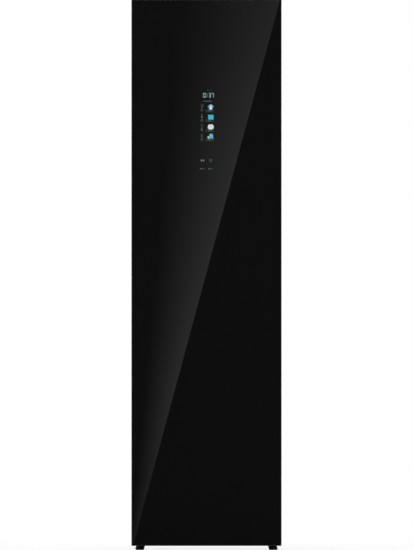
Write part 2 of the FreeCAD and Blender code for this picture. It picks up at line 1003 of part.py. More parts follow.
def outer_case():
    """Steel wrap of both sides and the roof, with a flange for the rear panel."""
    case = Piece("outer_case")

    def arch(out, inn, top, under):
        """An inverted U."""
        return [
            (f"-({out})", "case_bottom"),
            (f"-({out})", top),
            (out, top),
            (out, "case_bottom"),
            (inn, "case_bottom"),
            (inn, under),
            (f"-({inn})", under),
            (f"-({inn})", "case_bottom"),
        ]

    case.pad("XZ", "front_y", "panel_front", arch("half_case", "case_in", "case_top", "roof_in"))
    flange = arch(
        "case_in", "case_in - rear_flange", "roof_in", "roof_in - rear_flange"
    )
    case.pad("XZ", "panel_front - case_steel", "panel_front", flange)
    case.round_off("door_corner", "Y", x="half_case", z="case_top")
    case.done()


def front_frame():
    """Pressed steel front with the openings of the chamber and the tank bay."""
    frame = Piece("front_frame")
    face = around("case_in", "case_bottom", "roof_in")
    frame.pad("XZ", "front_y", "frame_back", face)
    chamber = around("half_chamber", "chamber_floor", "chamber_top")
    frame.pocket("XZ", "front_y", "frame_back", chamber)
    frame.round_off("opening_round", "Y", x="half_chamber")
    bay = around("half_bay", "bay_floor", "bay_top")
    frame.pocket("XZ", "front_y", "frame_back", bay)
    frame.round_off("opening_round", "Y", x="half_bay")
    frame.done()


def back_panel():
    """Rear steel panel with three columns of air slots for the machine room."""
    panel = Piece("back_panel")
    panel.pad("XZ", "panel_front", "back_y", around("half_case", "case_bottom", "case_top"))
    columns = []
    for step in ("-louvre_step", "0", "louvre_step"):
        left = f"{step} - louvre_width / 2"
        right = f"{step} + louvre_width / 2"
        columns.append(rect(left, "louvre_low", right, "louvre_low + louvre_height"))
    cut = panel.pocket("XZ", "panel_front", "back_y", *columns)
    panel.repeat(cut, "V", "louvre_pitch", "louvre_rows")
    window = rect(
        "inlet_x - inlet_width / 2",
        "inlet_z - inlet_height / 2",
        "inlet_x + inlet_width / 2",
        "inlet_z + inlet_height / 2",
    )
    panel.pocket("XZ", "panel_front", "back_y", window)
    panel.done()


def top_cover():
    """Moulded cover over the roof and the upper hinge."""
    cover = Piece("top_cover")
    cover.pad("XY", "case_top", "total_height", around("half_case", "front_y", "back_y"))
    cover.round_off("cover_round", "Z", x="half_case", y="back_y")
    inside = around(
        "half_case - cover_wall", "front_y + cover_wall", "back_y - cover_wall"
    )
    cover.pocket("XY", "case_top", "total_height - cover_wall", inside)
    cover.round_off("cover_wall", "X", z="total_height", y="back_y")
    mouth = rect(
        "pin_x - arm_width / 2 - post_gap", "case_top", "half_case", "case_top + arm_lift * 2"
    )
    cover.pocket("XZ", "front_y", "front_y + cover_wall", mouth)
    cover.done()


def base_pan():
    """Pressed tray that carries the machine room, with a boss over each foot."""
    pan = Piece("base_pan")
    back = "panel_front - case_steel"
    outline = around("case_in", "frame_back", back)
    pan.pad("XY", "case_bottom", "case_bottom + pan_height", outline)
    inside = around(
        "case_in - pan_steel", "frame_back + pan_steel", f"{back} - pan_steel"
    )
    pan.pocket("XY", "pan_floor", "case_bottom + pan_height", inside)
    spots = [(x, y) for x in ("-foot_x", "foot_x") for y in ("foot_front_y", "foot_back_y")]
    bosses = [(x, y, "foot_boss") for x, y in spots]
    pan.pad("XY", "pan_floor", "case_bottom + pan_height", *bosses)
    holes = [(x, y, "stud_radius + running_gap") for x, y in spots]
    pan.pocket("XY", "case_bottom", "case_bottom + pan_height", *holes)
    pan.done()


def felt_sheets():
    """Insulating felt on both sides and the back of the chamber."""
    low = "chamber_floor + felt_margin"
    high = "chamber_top - felt_margin"
    front = "frame_back + felt_margin"
    back = "chamber_back - felt_margin"
    sheets = [
        block("left_felt", "-liner_side - felt_thick", "-liner_side", front, back, low, high),
        block("right_felt", "liner_side", "liner_side + felt_thick", front, back, low, high),
        block(
            "rear_felt",
            "felt_margin - half_chamber",
            "half_chamber - felt_margin",
            "liner_back",
            "liner_back + felt_thick",
            "port_low + port_height + felt_margin * 2",
            high,
        ),
    ]
    group("felt_sheets", *sheets)


def rear_screws():
    """Screws round the rear panel."""
    screws = []
    across = value("half_case - rear_flange / 2")
    low = value("case_bottom + rear_flange")
    high = value("case_top - rear_flange")
    rows = int(value("screw_rows"))
    for side in (-1, 1):
        for number in range(rows):
            height = low + (high - low) * number / (rows - 1)
            head = rod("screw", "screw_radius", "screw_head", side * across, "back_y", height, "Y")
            screws.append(head)
    group("rear_screws", *screws)


def hinges():
    """Upper hinge on the roof and lower hinge on the front frame, each with its pin."""
    arm_left = "pin_x - arm_width / 2"
    arm_right = "pin_x + arm_width / 2"
    upper = Piece("upper_hinge")
    low, high = "case_top", "case_top + arm_thick"
    plate = rect(
        "case_in - foot_plate_width",
        "front_y + cover_wall * 2",
        "case_in - cover_wall * 2",
        "front_y + foot_plate_depth",
    )
    upper.pad("XY", low, high, plate)
    upper.pad("XY", low, high, rect(arm_left, "pin_y", arm_right, "front_y + arm_width"))
    upper.pad("XY", low, high, ("pin_x", "pin_y", "arm_width / 2"))
    upper.pad("XY", "case_top - pin_reach", low, ("pin_x", "pin_y", "pin_radius"))

    lower = Piece("lower_hinge")
    high = "notch_bottom - arm_lift"
    low = f"{high} - arm_thick"
    face = rect("case_in - foot_plate_width", f"{high} - hinge_plate_height", "case_in", high)
    lower.pad("XZ", "front_y - hinge_plate_thick", "front_y", face)
    lower.pad("XY", low, high, rect(arm_left, "pin_y", arm_right, "front_y"))
    lower.pad("XY", low, high, ("pin_x", "pin_y", "arm_width / 2"))
    lower.pad("XY", high, f"{high} + pin_reach", ("pin_x", "pin_y", "pin_radius"))
    group("door_hinges", upper.body, lower.body)


def foot(label, x, y):
    """A levelling foot: bevelled rim, dome, neck and threaded stud."""
    made = Piece(label)
    shoulder = "case_bottom - rest_gap"
    made.turn(
        [
            ("0", "0"),
            ("foot_radius - foot_edge", "0"),
            ("foot_radius", "foot_edge"),
            ("foot_radius", "foot_rim"),
            ("(foot_radius + foot_crown) / 2 + foot_edge / 2", "(foot_rim + foot_dome) / 2"),
            ("foot_crown", "foot_dome"),
            ("foot_neck", "foot_dome"),
            ("foot_neck", shoulder),
            ("stud_radius", shoulder),
            ("stud_radius", f"{shoulder} + stud_length"),
            ("0", f"{shoulder} + stud_length"),
        ]
    )
    return made.stand(x, y, "0")


def feet():
    """Two levelling feet in front and two fixed ones behind."""
    sub_parts.append(foot("foot_left", "-foot_x", "foot_front_y"))
    sub_parts.append(foot("foot_right", "foot_x", "foot_front_y"))
    rear = [foot(f"rear_foot_{side}", x, "foot_back_y") for side, x in
            (("left", "-foot_x"), ("right", "foot_x"))]
    group("rear_feet", *rear)


def mains_inlet():
    """Recessed mains socket in the rear panel, with three pins."""
    inlet = Piece("mains_inlet")
    across, up = "inlet_width / 2", "inlet_height / 2"

    def window(inset):
        """A rectangle this far inside the socket's own outline."""
        return rect(
            f"inlet_x - {across} + {inset}",
            f"inlet_z - {up} + {inset}",
            f"inlet_x + {across} - {inset}",
            f"inlet_z + {up} - {inset}",
        )

    inlet.pad("XZ", "back_y - inlet_depth", "back_y", window("0"))
    inlet.pad("XZ", "back_y", "back_y + inlet_flange / 2", window("-inlet_flange"))
    inlet.pocket("XZ", "back_y - inlet_recess", "back_y + inlet_flange", window("inlet_flange * 2"))
    pins = []
    for step, rise in (("-inlet_width / 6", "0"), ("0", "inlet_height / 8"), ("inlet_width / 6", "0")):
        left, low = f"inlet_x + {step} - inlet_flange / 2", f"inlet_z + {rise} - inlet_flange"
        right, high = f"inlet_x + {step} + inlet_flange / 2", f"inlet_z + {rise} + inlet_flange"
        pins.append(rect(left, low, right, high))
    inlet.pad("XZ", "back_y - inlet_recess", "back_y - inlet_flange", *pins)
    inlet.done()


# ---------------------------------------------------------------- chamber


def post_slots():
    """Two outlines that the rail's posts shake in, here and in each plate above."""
    across, deep = "slot_half", "post_radius + post_gap"
    return [
        rect(f"{x} - {across}", f"-({deep})", f"{x} + {across}", deep)
        for x in ("-post_spread", "post_spread")
    ]


def inner_liner():
    """Moulded chamber: walls with ribs and ledges, and its openings."""
    liner = Piece("inner_liner")
    outside = around("liner_side", "liner_base", "liner_roof")
    liner.pad("XZ", "frame_back", "liner_back", outside)
    flange = around(
        "liner_side + liner_flange", "liner_base - liner_flange", "liner_roof + liner_flange"
    )
    liner.pad("XZ", "frame_back", "frame_back + liner_wall", flange)
    inside = around("half_chamber", "chamber_floor", "chamber_top")
    liner.pocket("XZ", "frame_back", "chamber_back", inside)
    liner.round_off("opening_round", "Y", x="half_chamber")
    ledge = rect(
        "frame_back + ledge_inset", "ledge_low", "chamber_back - ledge_inset", "ledge_low + ledge_thick"
    )
    rib = rect(
        "frame_back + rib_pitch * 2",
        "rib_low",
        "frame_back + rib_pitch * 2 + rib_width",
        "chamber_top - rib_drop",
    )
    sides = (
        ("-half_chamber", "ledge_reach - half_chamber", "rib_height - half_chamber", True),
        ("half_chamber - ledge_reach", "half_chamber", "half_chamber - rib_height", False),
    )
    for start, end, face, left in sides:
        made = liner.pad("YZ", start, end, ledge)
        liner.repeat(made, "V", "ledge_step", "2")
        walls = ("-half_chamber", face) if left else (face, "half_chamber")
        made = liner.pad("YZ", *walls, rib)
        liner.repeat(made, "H", "rib_pitch", "rib_count")
    floor = ("liner_base", "chamber_floor")
    liner.pocket("XY", *floor, tray_outline())
    roof = ("chamber_top", "liner_roof")
    liner.pocket("XY", *roof, *post_slots())
    liner.pocket("XY", *roof, lamp_outline())
    port = rect(
        "duct_middle - port_width / 2",
        "port_low",
        "duct_middle + port_width / 2",
        "port_low + port_height",
    )
    liner.pocket("XZ", "chamber_back", "liner_back", port)
    liner.done()


def tray_outline():
    """The floor tray's place in the liner's floor."""
    back = "outlet_y + outlet_depth / 2 + tray_margin"
    return around("half_chamber - tray_side", "filter_front - tray_margin", back)


def floor_tray():
    """Panel let into the chamber's floor, with the mouths of the filter and steam outlet."""
    tray = Piece("floor_tray")
    tray.pad("XY", "liner_base", "chamber_floor", tray_outline())
    mouth = around("filter_width / 2", "filter_front", "filter_back")
    outlet = rect(
        "outlet_x - outlet_width / 2",
        "outlet_y - outlet_depth / 2",
        "outlet_x + outlet_width / 2",
        "outlet_y + outlet_depth / 2",
    )
    tray.pocket("XY", "liner_base", "chamber_floor", mouth, outlet)
    tray.done()


def lamp_outline():
    """The lamp's window in the ceiling."""
    front = "frame_back + lamp_inset"
    return around("lamp_width / 2", front, f"{front} + lamp_depth")


def led_lamp():
    """Lamp bar in the ceiling, its lens just below it."""
    lamp = Piece("led_lamp")
    lamp.pad("XY", "chamber_top - lamp_sink", "liner_roof", lamp_outline())
    lamp.done()


def air_panel():
    """Hollow panel up the back wall that spreads the warm air through rows of slots."""
    panel = Piece("air_panel")
    half = "air_panel_width / 2"
    low = "chamber_floor + air_panel_foot"
    high = "chamber_top - air_panel_drop"
    face = "chamber_back - air_panel_depth"
    panel.pad("XZ", face, "chamber_back", around(half, low, high))
    panel.round_off("field_round", "Y", x=half)
    hollow = around(
        f"{half} - liner_wall * 2", f"{low} + liner_wall * 2", f"{high} - liner_wall * 2"
    )
    panel.pocket("XZ", f"{face} + liner_wall", "chamber_back", hollow)
    reach = f"{half} - air_slot_margin"
    lower = f"{low} + air_slot_margin"
    slot = around(reach, lower, f"{lower} + air_slot_height")
    cut = panel.pocket("XZ", face, f"{face} + liner_wall", slot)
    panel.repeat(cut, "V", "air_slot_pitch", "air_slot_count")
    upper = f"{high} - air_slot_margin - air_slot_pitch * air_slot_count"
    slot = around(reach, upper, f"{upper} + air_slot_height")
    cut = panel.pocket("XZ", face, f"{face} + liner_wall", slot)
    panel.repeat(cut, "V", "air_slot_pitch", "air_slot_count")
    panel.done()


def shelf_rack():
    """Slatted shelf that rests on the ledges, with a raised lip at its back."""
    shelf = Piece("shelf_rack")
    shelf.pad("XY", "shelf_low", "shelf_top", around("half_shelf", "shelf_front", "shelf_back"))
    for y in ("shelf_front", "shelf_back"):
        shelf.round_off("shelf_corner", "Z", x="half_shelf", y=y)
    first = "shelf_front + shelf_rim"
    last = f"{first} + shelf_slot"
    inner, outer = "shelf_spine / 2", "half_shelf - shelf_rim"
    slots = [rect(inner, first, outer, last), rect(f"-({outer})", first, f"-({inner})", last)]
    cut = shelf.pocket("XY", "shelf_low", "shelf_top", *slots)
    shelf.repeat(cut, "V", "shelf_slot_pitch", "shelf_slot_count")
    lip = around("half_shelf - shelf_corner", "shelf_back - shelf_lip", "shelf_back")
    shelf.pad("XY", "shelf_top", "shelf_top + shelf_lip_height", lip)
    shelf.done()


def steam_outlet():
    """Slotted nozzle in the floor, with a spigot for the hose."""
    outlet = Piece("steam_outlet")

    def plan(grow):
        """The nozzle's outline, larger by this much."""
        return rect(
            f"outlet_x - outlet_width / 2 - ({grow})",
            f"outlet_y - outlet_depth / 2 - ({grow})",
            f"outlet_x + outlet_width / 2 + ({grow})",
            f"outlet_y + outlet_depth / 2 + ({grow})",
        )

    under = "liner_base - outlet_cup"
    outlet.pad("XY", under, "chamber_floor", plan("0"))
    outlet.pad("XY", "chamber_floor", "chamber_floor + outlet_rim_thick", plan("outlet_rim"))
    first = "outlet_x - outlet_slot_pitch * (outlet_slots - 1) / 2"
    deep = "outlet_depth / 2 - outlet_rim"
    slot = rect(
        f"{first} - outlet_slot_width / 2",
        f"outlet_y - ({deep})",
        f"{first} + outlet_slot_width / 2",
        f"outlet_y + {deep}",
    )
    top = "chamber_floor + outlet_rim_thick"
    cut = outlet.pocket("XY", f"{under} + liner_wall", top, slot)
    outlet.repeat(cut, "H", "outlet_slot_pitch", "outlet_slots")
    spigot = ("outlet_x", "outlet_y", "spigot_radius")
    outlet.pad("XY", f"{under} - spigot_length", under, spigot)
    outlet.done()


def lint_filter():
    """Filter basket that drops into a well in the floor: frame, mesh and the well."""
    gap = "filter_gap"
    half = f"filter_width / 2 - {gap}"
    front, back = f"filter_front + {gap}", f"filter_back - {gap}"
    low = "chamber_floor - filter_height"
    frame = Piece("filter_frame")
    frame.pad("XY", low, "chamber_floor + rest_gap", around(half, front, back))
    rim_low = "chamber_floor + rest_gap"
    rim_top = f"{rim_low} + filter_rim_thick"
    rim = around(
        "filter_width / 2 + filter_rim", "filter_front - filter_rim", "filter_back + filter_rim"
    )
    frame.pad("XY", rim_low, rim_top, rim)
    inside = around(
        f"{half} - filter_wall", f"{front} + filter_wall", f"{back} - filter_wall"
    )
    frame.pocket("XY", f"{low} + filter_wall", rim_top, inside)
    window = []
    bays = ("-1", "0", "1")
    pane = f"({half} - filter_wall * 2) / 3"
    for bay in bays:
        left = f"{bay} * 2 * {pane} - {pane} + filter_wall / 2"
        right = f"{bay} * 2 * {pane} + {pane} - filter_wall / 2"
        window.append(rect(left, f"{low} + filter_wall * 3", right, "chamber_floor - filter_wall * 3"))
    frame.pocket("XZ", front, back, *window)
    middle = "(filter_front + filter_back) / 2"
    grip = rect(
        "-filter_grip / 2",
        f"{middle} - filter_grip_thick / 2",
        "filter_grip / 2",
        f"{middle} + filter_grip_thick / 2",
    )
    bridge = rect(
        f"-({half} - filter_wall / 2)",
        f"{middle} - filter_grip_thick / 2",
        f"{half} - filter_wall / 2",
        f"{middle} + filter_grip_thick / 2",
    )
    frame.pad("XY", f"{rim_low} - filter_wall", rim_top, bridge)
    frame.pad("XY", rim_top, f"{rim_top} + filter_grip_height", grip)
    frame.done()

    sheets = []
    for name, start, sign in (("front", f"{front} + filter_wall", "+"),
                              ("back", f"{back} - filter_wall", "-")):
        near, far = start, f"{start} {sign} mesh_thick"
        if sign == "-":
            near, far = far, near
        sheets.append(
            block(
                f"{name}_mesh",
                f"-({half} - filter_wall)",
                f"{half} - filter_wall",
                near,
                far,
                f"{low} + filter_wall",
                "chamber_floor - filter_wall * 2",
            )
        )
    group("filter_mesh", *sheets)

    well = Piece("filter_well")
    bottom = "liner_base - well_height"
    outline = around(
        "filter_width / 2 + filter_gap + well_wall",
        "filter_front - filter_gap - well_wall",
        "well_back",
    )
    well.pad("XY", bottom, "liner_base", outline)
    cavity = around(
        "filter_width / 2 + filter_gap", "filter_front - filter_gap", "filter_back + filter_gap"
    )
    well.pocket("XY", f"{bottom} + well_wall", "liner_base", cavity)
    mouth = rect(
        "-filter_width / 2 + well_wall",
        f"{bottom} + well_wall * 2",
        "duct_end - duct_wall * 2",
        "liner_base - well_wall * 4",
    )
    well.pocket("XZ", "filter_back + filter_gap", "well_back", mouth)
    well.done()


# ---------------------------------------------------------------- hanger rail and its drive


def hanger_rail():
    """Notched rail for the hangers."""
    rail = Piece("hanger_rail")
    straight = "(rail_height - rail_thick) / 2"
    low, high = f"rail_middle - {straight}", f"rail_middle + {straight}"
    half = "rail_thick / 2"
    ends = ("-half_rail", "half_rail")
    outline = [
        (f"-({half})", low),
        (f"-({half}) / 2", "rail_top - rail_height"),
        (f"({half}) / 2", "rail_top - rail_height"),
        (half, low),
        (half, high),
        (f"({half}) / 2", "rail_top"),
        (f"-({half}) / 2", "rail_top"),
        (f"-({half})", high),
    ]
    rail.pad("YZ", *ends, outline)
    first = "-rail_notch_pitch * (rail_notches - 1) / 2"
    notch = [
        (f"{first} - rail_notch_width / 2", "rail_top"),
        (f"{first} - rail_notch_width / 4", "rail_top - rail_notch_depth"),
        (f"{first} + rail_notch_width / 4", "rail_top - rail_notch_depth"),
        (f"{first} + rail_notch_width / 2", "rail_top"),
    ]
    cut = rail.pocket("XZ", f"-({half})", half, notch)
    rail.repeat(cut, "H", "rail_notch_pitch", "rail_notches")
    rail.done()


def rail_slider():
    """Plate with a crosswise slot for the crank pin, four bushes on the rods, and two posts."""
    slider = Piece("rail_slider")
    plan = around("slider_half_width", "-slider_half_depth", "slider_half_depth")
    slider.pad("XY", "slider_low", "slider_top", plan)
    reach = "shake + crank_pin_radius + crank_pin_gap"
    yoke = around("crank_pin_radius + crank_pin_gap", f"-({reach})", reach)
    slider.pocket("XY", "slider_low", "slider_top", yoke)
    foot = "rod_z - rod_radius - slider_thick"
    for x in ("-slider_bush_x", "slider_bush_x"):
        start, end = f"{x} - slider_bush / 2", f"{x} + slider_bush / 2"
        seats = [
            rect(f"{y} - rod_block_depth / 2", foot, f"{y} + rod_block_depth / 2", "slider_low")
            for y in ("-rod_spread", "rod_spread")
        ]
        slider.pad("YZ", start, end, *seats)
    bores = [(y, "rod_z", "rod_radius + running_gap") for y in ("-rod_spread", "rod_spread")]
    slider.pocket("YZ", "-slider_half_width", "slider_half_width", *bores)
    posts = [(x, "0", "post_radius") for x in ("-post_spread", "post_spread")]
    slider.pad("XY", "rail_top", "slider_low", *posts)
    slider.done()


def guide_rods():
    """Two rods that the slider runs on, between four blocks."""
    pieces = []
    for y in ("-rod_spread", "rod_spread"):
        pieces.append(rod("guide_rod", "rod_radius", "rod_reach * 2", "-rod_reach", y, "rod_z", "X"))
        for start, end in (("-rod_reach - rod_block", "-rod_reach"), ("rod_reach", "rod_reach + rod_block")):
            front, back = f"{y} - rod_block_depth / 2", f"{y} + rod_block_depth / 2"
            high = "drive_top + rod_block_height"
            pieces.append(block("rod_block", start, end, front, back, "drive_top", high))
    group("guide_rods", *pieces)


def drive_plate():
    """Steel plate on the chamber's roof, the arch over the crank, and the crank's bush."""
    plate = Piece("base")
    outline = rect("-drive_left", "-drive_front", "drive_right", "drive_back")
    plate.pad("XY", "liner_roof", "drive_top", outline)
    plate.pocket("XY", "liner_roof", "drive_top", *post_slots())

    bridge = Piece("bridge")
    out, top = "bridge_half_depth", "bridge_top"
    inn, under = "bridge_half_depth - bridge_steel", "bridge_top - bridge_steel"
    arch = [
        (f"-{out}", "drive_top"),
        (f"-{out}", top),
        (out, top),
        (out, "drive_top"),
        (inn, "drive_top"),
        (inn, under),
        (f"-({inn})", under),
        (f"-({inn})", "drive_top"),
    ]
    bridge.pad("YZ", "-bridge_half_width", "bridge_half_width", arch)
    bridge.pocket("XY", under, top, ("0", "0", "crank_shaft_radius + bush_wall"))
    group("drive_plate", plate.body, bridge.body)

    bush = Piece("crank_bush")
    inner = "crank_shaft_radius + running_gap"
    outer = "crank_shaft_radius + bush_wall"
    flange = "crank_shaft_radius + bush_wall * 2"
    bush.turn(
        [
            (inner, f"{under} - bush_height + bridge_steel"),
            (outer, f"{under} - bush_height + bridge_steel"),
            (outer, top),
            (flange, top),
            (flange, f"{top} + bush_flange"),
            (inner, f"{top} + bush_flange"),
        ]
    )
    bush.done()


def crank_pulley():
    """Belt pulley, crank disc and shaft in one piece, with the pin that shakes the slider."""
    crank = Piece("crank_pulley")
    lip = "crank_pulley_radius + pulley_lip"
    groove_low = "pulley_low + pulley_flange"
    groove_top = "pulley_top - pulley_flange"
    crank.turn(
        [
            ("0", "disc_low"),
            ("crank_disc_radius", "disc_low"),
            ("crank_disc_radius", "pulley_low"),
            (lip, "pulley_low"),
            (lip, groove_low),
            ("crank_pulley_radius", groove_low),
            ("crank_pulley_radius", groove_top),
            (lip, groove_top),
            (lip, "pulley_top"),
            ("crank_shaft_radius", "pulley_top"),
            ("crank_shaft_radius", "pulley_top + crank_shaft_length"),
            ("0", "pulley_top + crank_shaft_length"),
        ]
    )
    pin = ("0", "shake", "crank_pin_radius")
    crank.pad("XY", "disc_low - crank_pin_length", "disc_low", pin)
    crank.done()


def motor_pulley():
    """Small pulley on the motor's shaft."""
    pulley = Piece("motor_pulley")
    bore = "motor_shaft_radius + running_gap"
    lip = "motor_pulley_radius + pulley_lip"
    pulley.turn(
        [
            (bore, "pulley_low"),
            (lip, "pulley_low"),
            (lip, "pulley_low + pulley_flange"),
            ("motor_pulley_radius", "pulley_low + pulley_flange"),
            ("motor_pulley_radius", "pulley_top - pulley_flange"),
            (lip, "pulley_top - pulley_flange"),
            (lip, "pulley_top"),
            (bore, "pulley_top"),
        ]
    )
    pulley.stand("motor_x", "0", "0")
    pulley.done()


def rail_motor():
    """Upright motor beside the crank."""
    motor = Piece("rail_motor")
    top = "drive_top + motor_height"
    motor.turn(
        [
            ("0", "drive_top"),
            ("motor_radius", "drive_top"),
            ("motor_radius", top),
            ("motor_shaft_radius * 3", top),
            ("motor_shaft_radius * 3", f"{top} + motor_shaft_radius"),
            ("motor_shaft_radius", f"{top} + motor_shaft_radius"),
            ("motor_shaft_radius", "pulley_top + pulley_flange"),
            ("0", "pulley_top + pulley_flange"),
        ]
    )
    motor.stand("motor_x", "0", "0")
    motor.done()


def belt_loop(grow):
    """A taut loop round both pulleys, this far outside their grooves."""
    big = value("crank_pulley_radius") + grow
    small = value("motor_pulley_radius") + grow
    reach = value("motor_x")
    lean = math.asin((big - small) / reach)
    across, up = math.sin(lean), math.cos(lean)
    upper = [V(big * across, big * up, 0), V(reach + small * across, small * up, 0)]
    lower = [V(p.x, -p.y, 0) for p in upper]
    return Part.Wire(
        [
            Part.LineSegment(upper[0], upper[1]).toShape(),
            Part.Arc(upper[1], V(reach + small, 0, 0), lower[1]).toShape(),
            Part.LineSegment(lower[1], lower[0]).toShape(),
            Part.Arc(lower[0], V(-big, 0, 0), upper[0]).toShape(),
        ]
    )


def drive_belt():
    """Flat belt between the two pulleys."""
    gap = value("running_gap")
    outer = Part.Face(belt_loop(gap + value("belt_thick")))
    band = outer.cut(Part.Face(belt_loop(gap))).extrude(V(0, 0, value("belt_width")))
    belt = shaped("drive_belt", band)
    place(belt, "0", "0", "belt_low")
    sub_parts.append(belt)


def rail_hood():
    """Moulded hood under the ceiling that hides the slots, with slots of its own."""
    hood = Piece("rail_hood")
    low = "chamber_top - hood_height"
    half, deep = "half_chamber - hood_side", "hood_depth / 2"
    hood.pad("XY", low, "chamber_top", around(half, f"-({deep})", deep))
    for side in ("", "-"):
        hood.round_off("hood_round", "Z", x=half, y=f"{side}({deep})")
    inside = around(
        f"{half} - hood_round", f"-({deep} - liner_wall)", f"{deep} - liner_wall"
    )
    hood.pocket("XY", f"{low} + liner_wall", "chamber_top", inside)
    hood.pocket("XY", low, f"{low} + liner_wall", *post_slots())
    hood.done()


def control_box():
    """Control board's box on the chamber's roof."""
    box = Piece("control_box")
    outline = rect(
        "control_left",
        "control_front",
        "control_left + control_width",
        "control_front + control_depth",
    )
    high = "liner_roof + control_height"
    box.pad("XY", "liner_roof", high, outline)
    lid = rect(
        "control_left + control_wall",
        "control_front + control_wall",
        "control_left + control_width - control_wall",
        "control_front + control_depth - control_wall",
    )
    box.pocket("XY", "liner_roof + control_wall", f"{high} - control_wall", lid)
    box.done()


# ---------------------------------------------------------------- water


def tank_bay():
    """Moulded bay for the two tanks, with a rib for each to slide on."""
    bay = Piece("tank_bay")
    outside = around("half_bay + bay_wall", "bay_floor - bay_wall", "bay_top + bay_wall")
    bay.pad("XZ", "frame_back", "bay_back + bay_wall", outside)
    flange = around(
        "half_bay + liner_flange", "bay_floor - liner_flange", "bay_top + liner_flange"
    )
    bay.pad("XZ", "frame_back", "frame_back + bay_wall", flange)
    inside = around("half_bay", "bay_floor", "bay_top")
    bay.pocket("XZ", "frame_back", "bay_back", inside)
    bay.round_off("opening_round", "Y", x="half_bay")
    ribs = []
    for side in ("-1", "1"):
        for step in ("tank_width / 4", "tank_width * 3 / 4"):
            middle = f"{side} * (tank_gap / 2 + {step})"
            left, right = f"{middle} - bay_rib / 2", f"{middle} + bay_rib / 2"
            ribs.append(rect(left, "bay_floor", right, "bay_floor + bay_rib"))
    bay.pad("XZ", "frame_back + bay_wall", "bay_back", *ribs)
    bay.done()


def water_tank(name, left):
    """One tank with a recessed grip in its front, and its lid with a filler cap."""
    right = f"({left}) + tank_width"
    middle = f"({left}) + tank_width / 2"
    back = "tank_front + tank_depth"
    tank = Piece(f"{name}_tank")
    tank.pad("XY", "tank_low", "tank_top", rect(left, "tank_front", right, back))
    for x in (left, right):
        for y in ("tank_front", back):
            tank.round_off("tank_round", "Z", x=f"abs({x})", y=y)
    wall = "tank_wall"
    inside = rect(
        f"{left} + {wall}", f"tank_front + {wall}", f"{right} - {wall}", f"{back} - {wall}"
    )
    tank.pocket("XY", f"tank_low + {wall}", "tank_top", inside)
    high = "tank_top - tank_grip_drop"
    low = f"{high} - tank_grip_height"
    half = "tank_grip_width / 2"
    shell = rect(
        f"{middle} - {half} - {wall}", f"{low} - {wall}", f"{middle} + {half} + {wall}", f"{high} + {wall}"
    )
    recess = rect(f"{middle} - {half}", low, f"{middle} + {half}", high)
    tank.pad("XZ", f"tank_front + {wall}", f"tank_front + tank_grip_depth + {wall}", shell)
    tank.pocket("XZ", "tank_front", "tank_front + tank_grip_depth", recess)
    tank.done()

    lid = Piece(f"{name}_lid")
    rim = "lid_rim"
    outline = rect(f"{left} + {rim}", f"tank_front + {rim}", f"{right} - {rim}", f"{back} - {rim}")
    lid.pad("XY", "tank_top", "tank_top + lid_height", outline)
    for x in (f"{left} + {rim}", f"{right} - {rim}"):
        for y in (f"tank_front + {rim}", f"{back} - {rim}"):
            lid.round_off("tank_round", "Z", x=f"abs({x})", y=y)
    centre = f"(tank_front + {back}) / 2"
    cap = (middle, centre, "lid_cap_radius")
    lid.pad("XY", "tank_top + lid_height", "tank_top + lid_height + lid_cap_height", cap)
    lid.done()


def steam_boiler():
    """Boiler on four feet, with a bolted lid and the steam spigot."""
    boiler = Piece("steam_boiler")
    left, right = "boiler_left", "boiler_left + boiler_width"
    front, back = "boiler_front", "boiler_front + boiler_depth"
    body = rect(left, front, right, back)
    boiler.pad("XY", "boiler_low", "boiler_top", body)
    grow = "boiler_flange"
    lid = rect(
        f"{left} - {grow}", f"{front} - {grow}", f"{right} + {grow}", f"{back} + {grow}"
    )
    lid_low = "boiler_top - boiler_flange_thick"
    boiler.pad("XY", lid_low, "boiler_top", lid)
    inset = "boiler_foot_radius * 2"
    feet_spots = [
        (x, y, "boiler_foot_radius")
        for x in (f"{left} + {inset}", f"{right} - {inset}")
        for y in (f"{front} + {inset}", f"{back} - {inset}")
    ]
    boiler.pad("XY", "pan_floor", "boiler_low", *feet_spots)
    spigot = ("outlet_x", "outlet_y", "spigot_radius")
    boiler.pad("XY", "boiler_top", "boiler_top + spigot_length", spigot)
    boiler.done()


def steam_hose():
    """Hose from the boiler's spigot to the nozzle, bowed clear of the air duct."""
    x, y = value("outlet_x"), value("outlet_y")
    low = value("boiler_top + spigot_length")
    high = value("liner_base - outlet_cup - spigot_length")
    bow = value("hose_radius * 2")
    rise = (high - low) / 4
    route = [
        V(x, y, low),
        V(x, y, low + rise / 2),
        V(x - bow, y, low + rise * 2),
        V(x, y, high - rise / 2),
        V(x, y, high),
    ]
    tube = bent_tube(route, value("hose_radius"), value("hose_radius * 4"))
    sub_parts.append(shaped("steam_hose", tube))


def water_pumps():
    """Feed pump and drain pump, side by side on their saddles."""
    pieces = []
    up = "pan_floor + pump_saddle + pump_radius"
    for x in ("pump_left", "pump_right"):
        barrel = rod("barrel", "pump_radius", "pump_length", x, "pump_front", up, "Y")
        saddle = block(
            "saddle",
            f"{x} - pump_radius",
            f"{x} + pump_radius",
            "pump_front + pump_saddle",
            "pump_front + pump_length - pump_saddle",
            "pan_floor",
            up,
        )
        pieces.append(fused("pump", barrel, saddle))
    group("water_pumps", *pieces)


# ---------------------------------------------------------------- heat pump


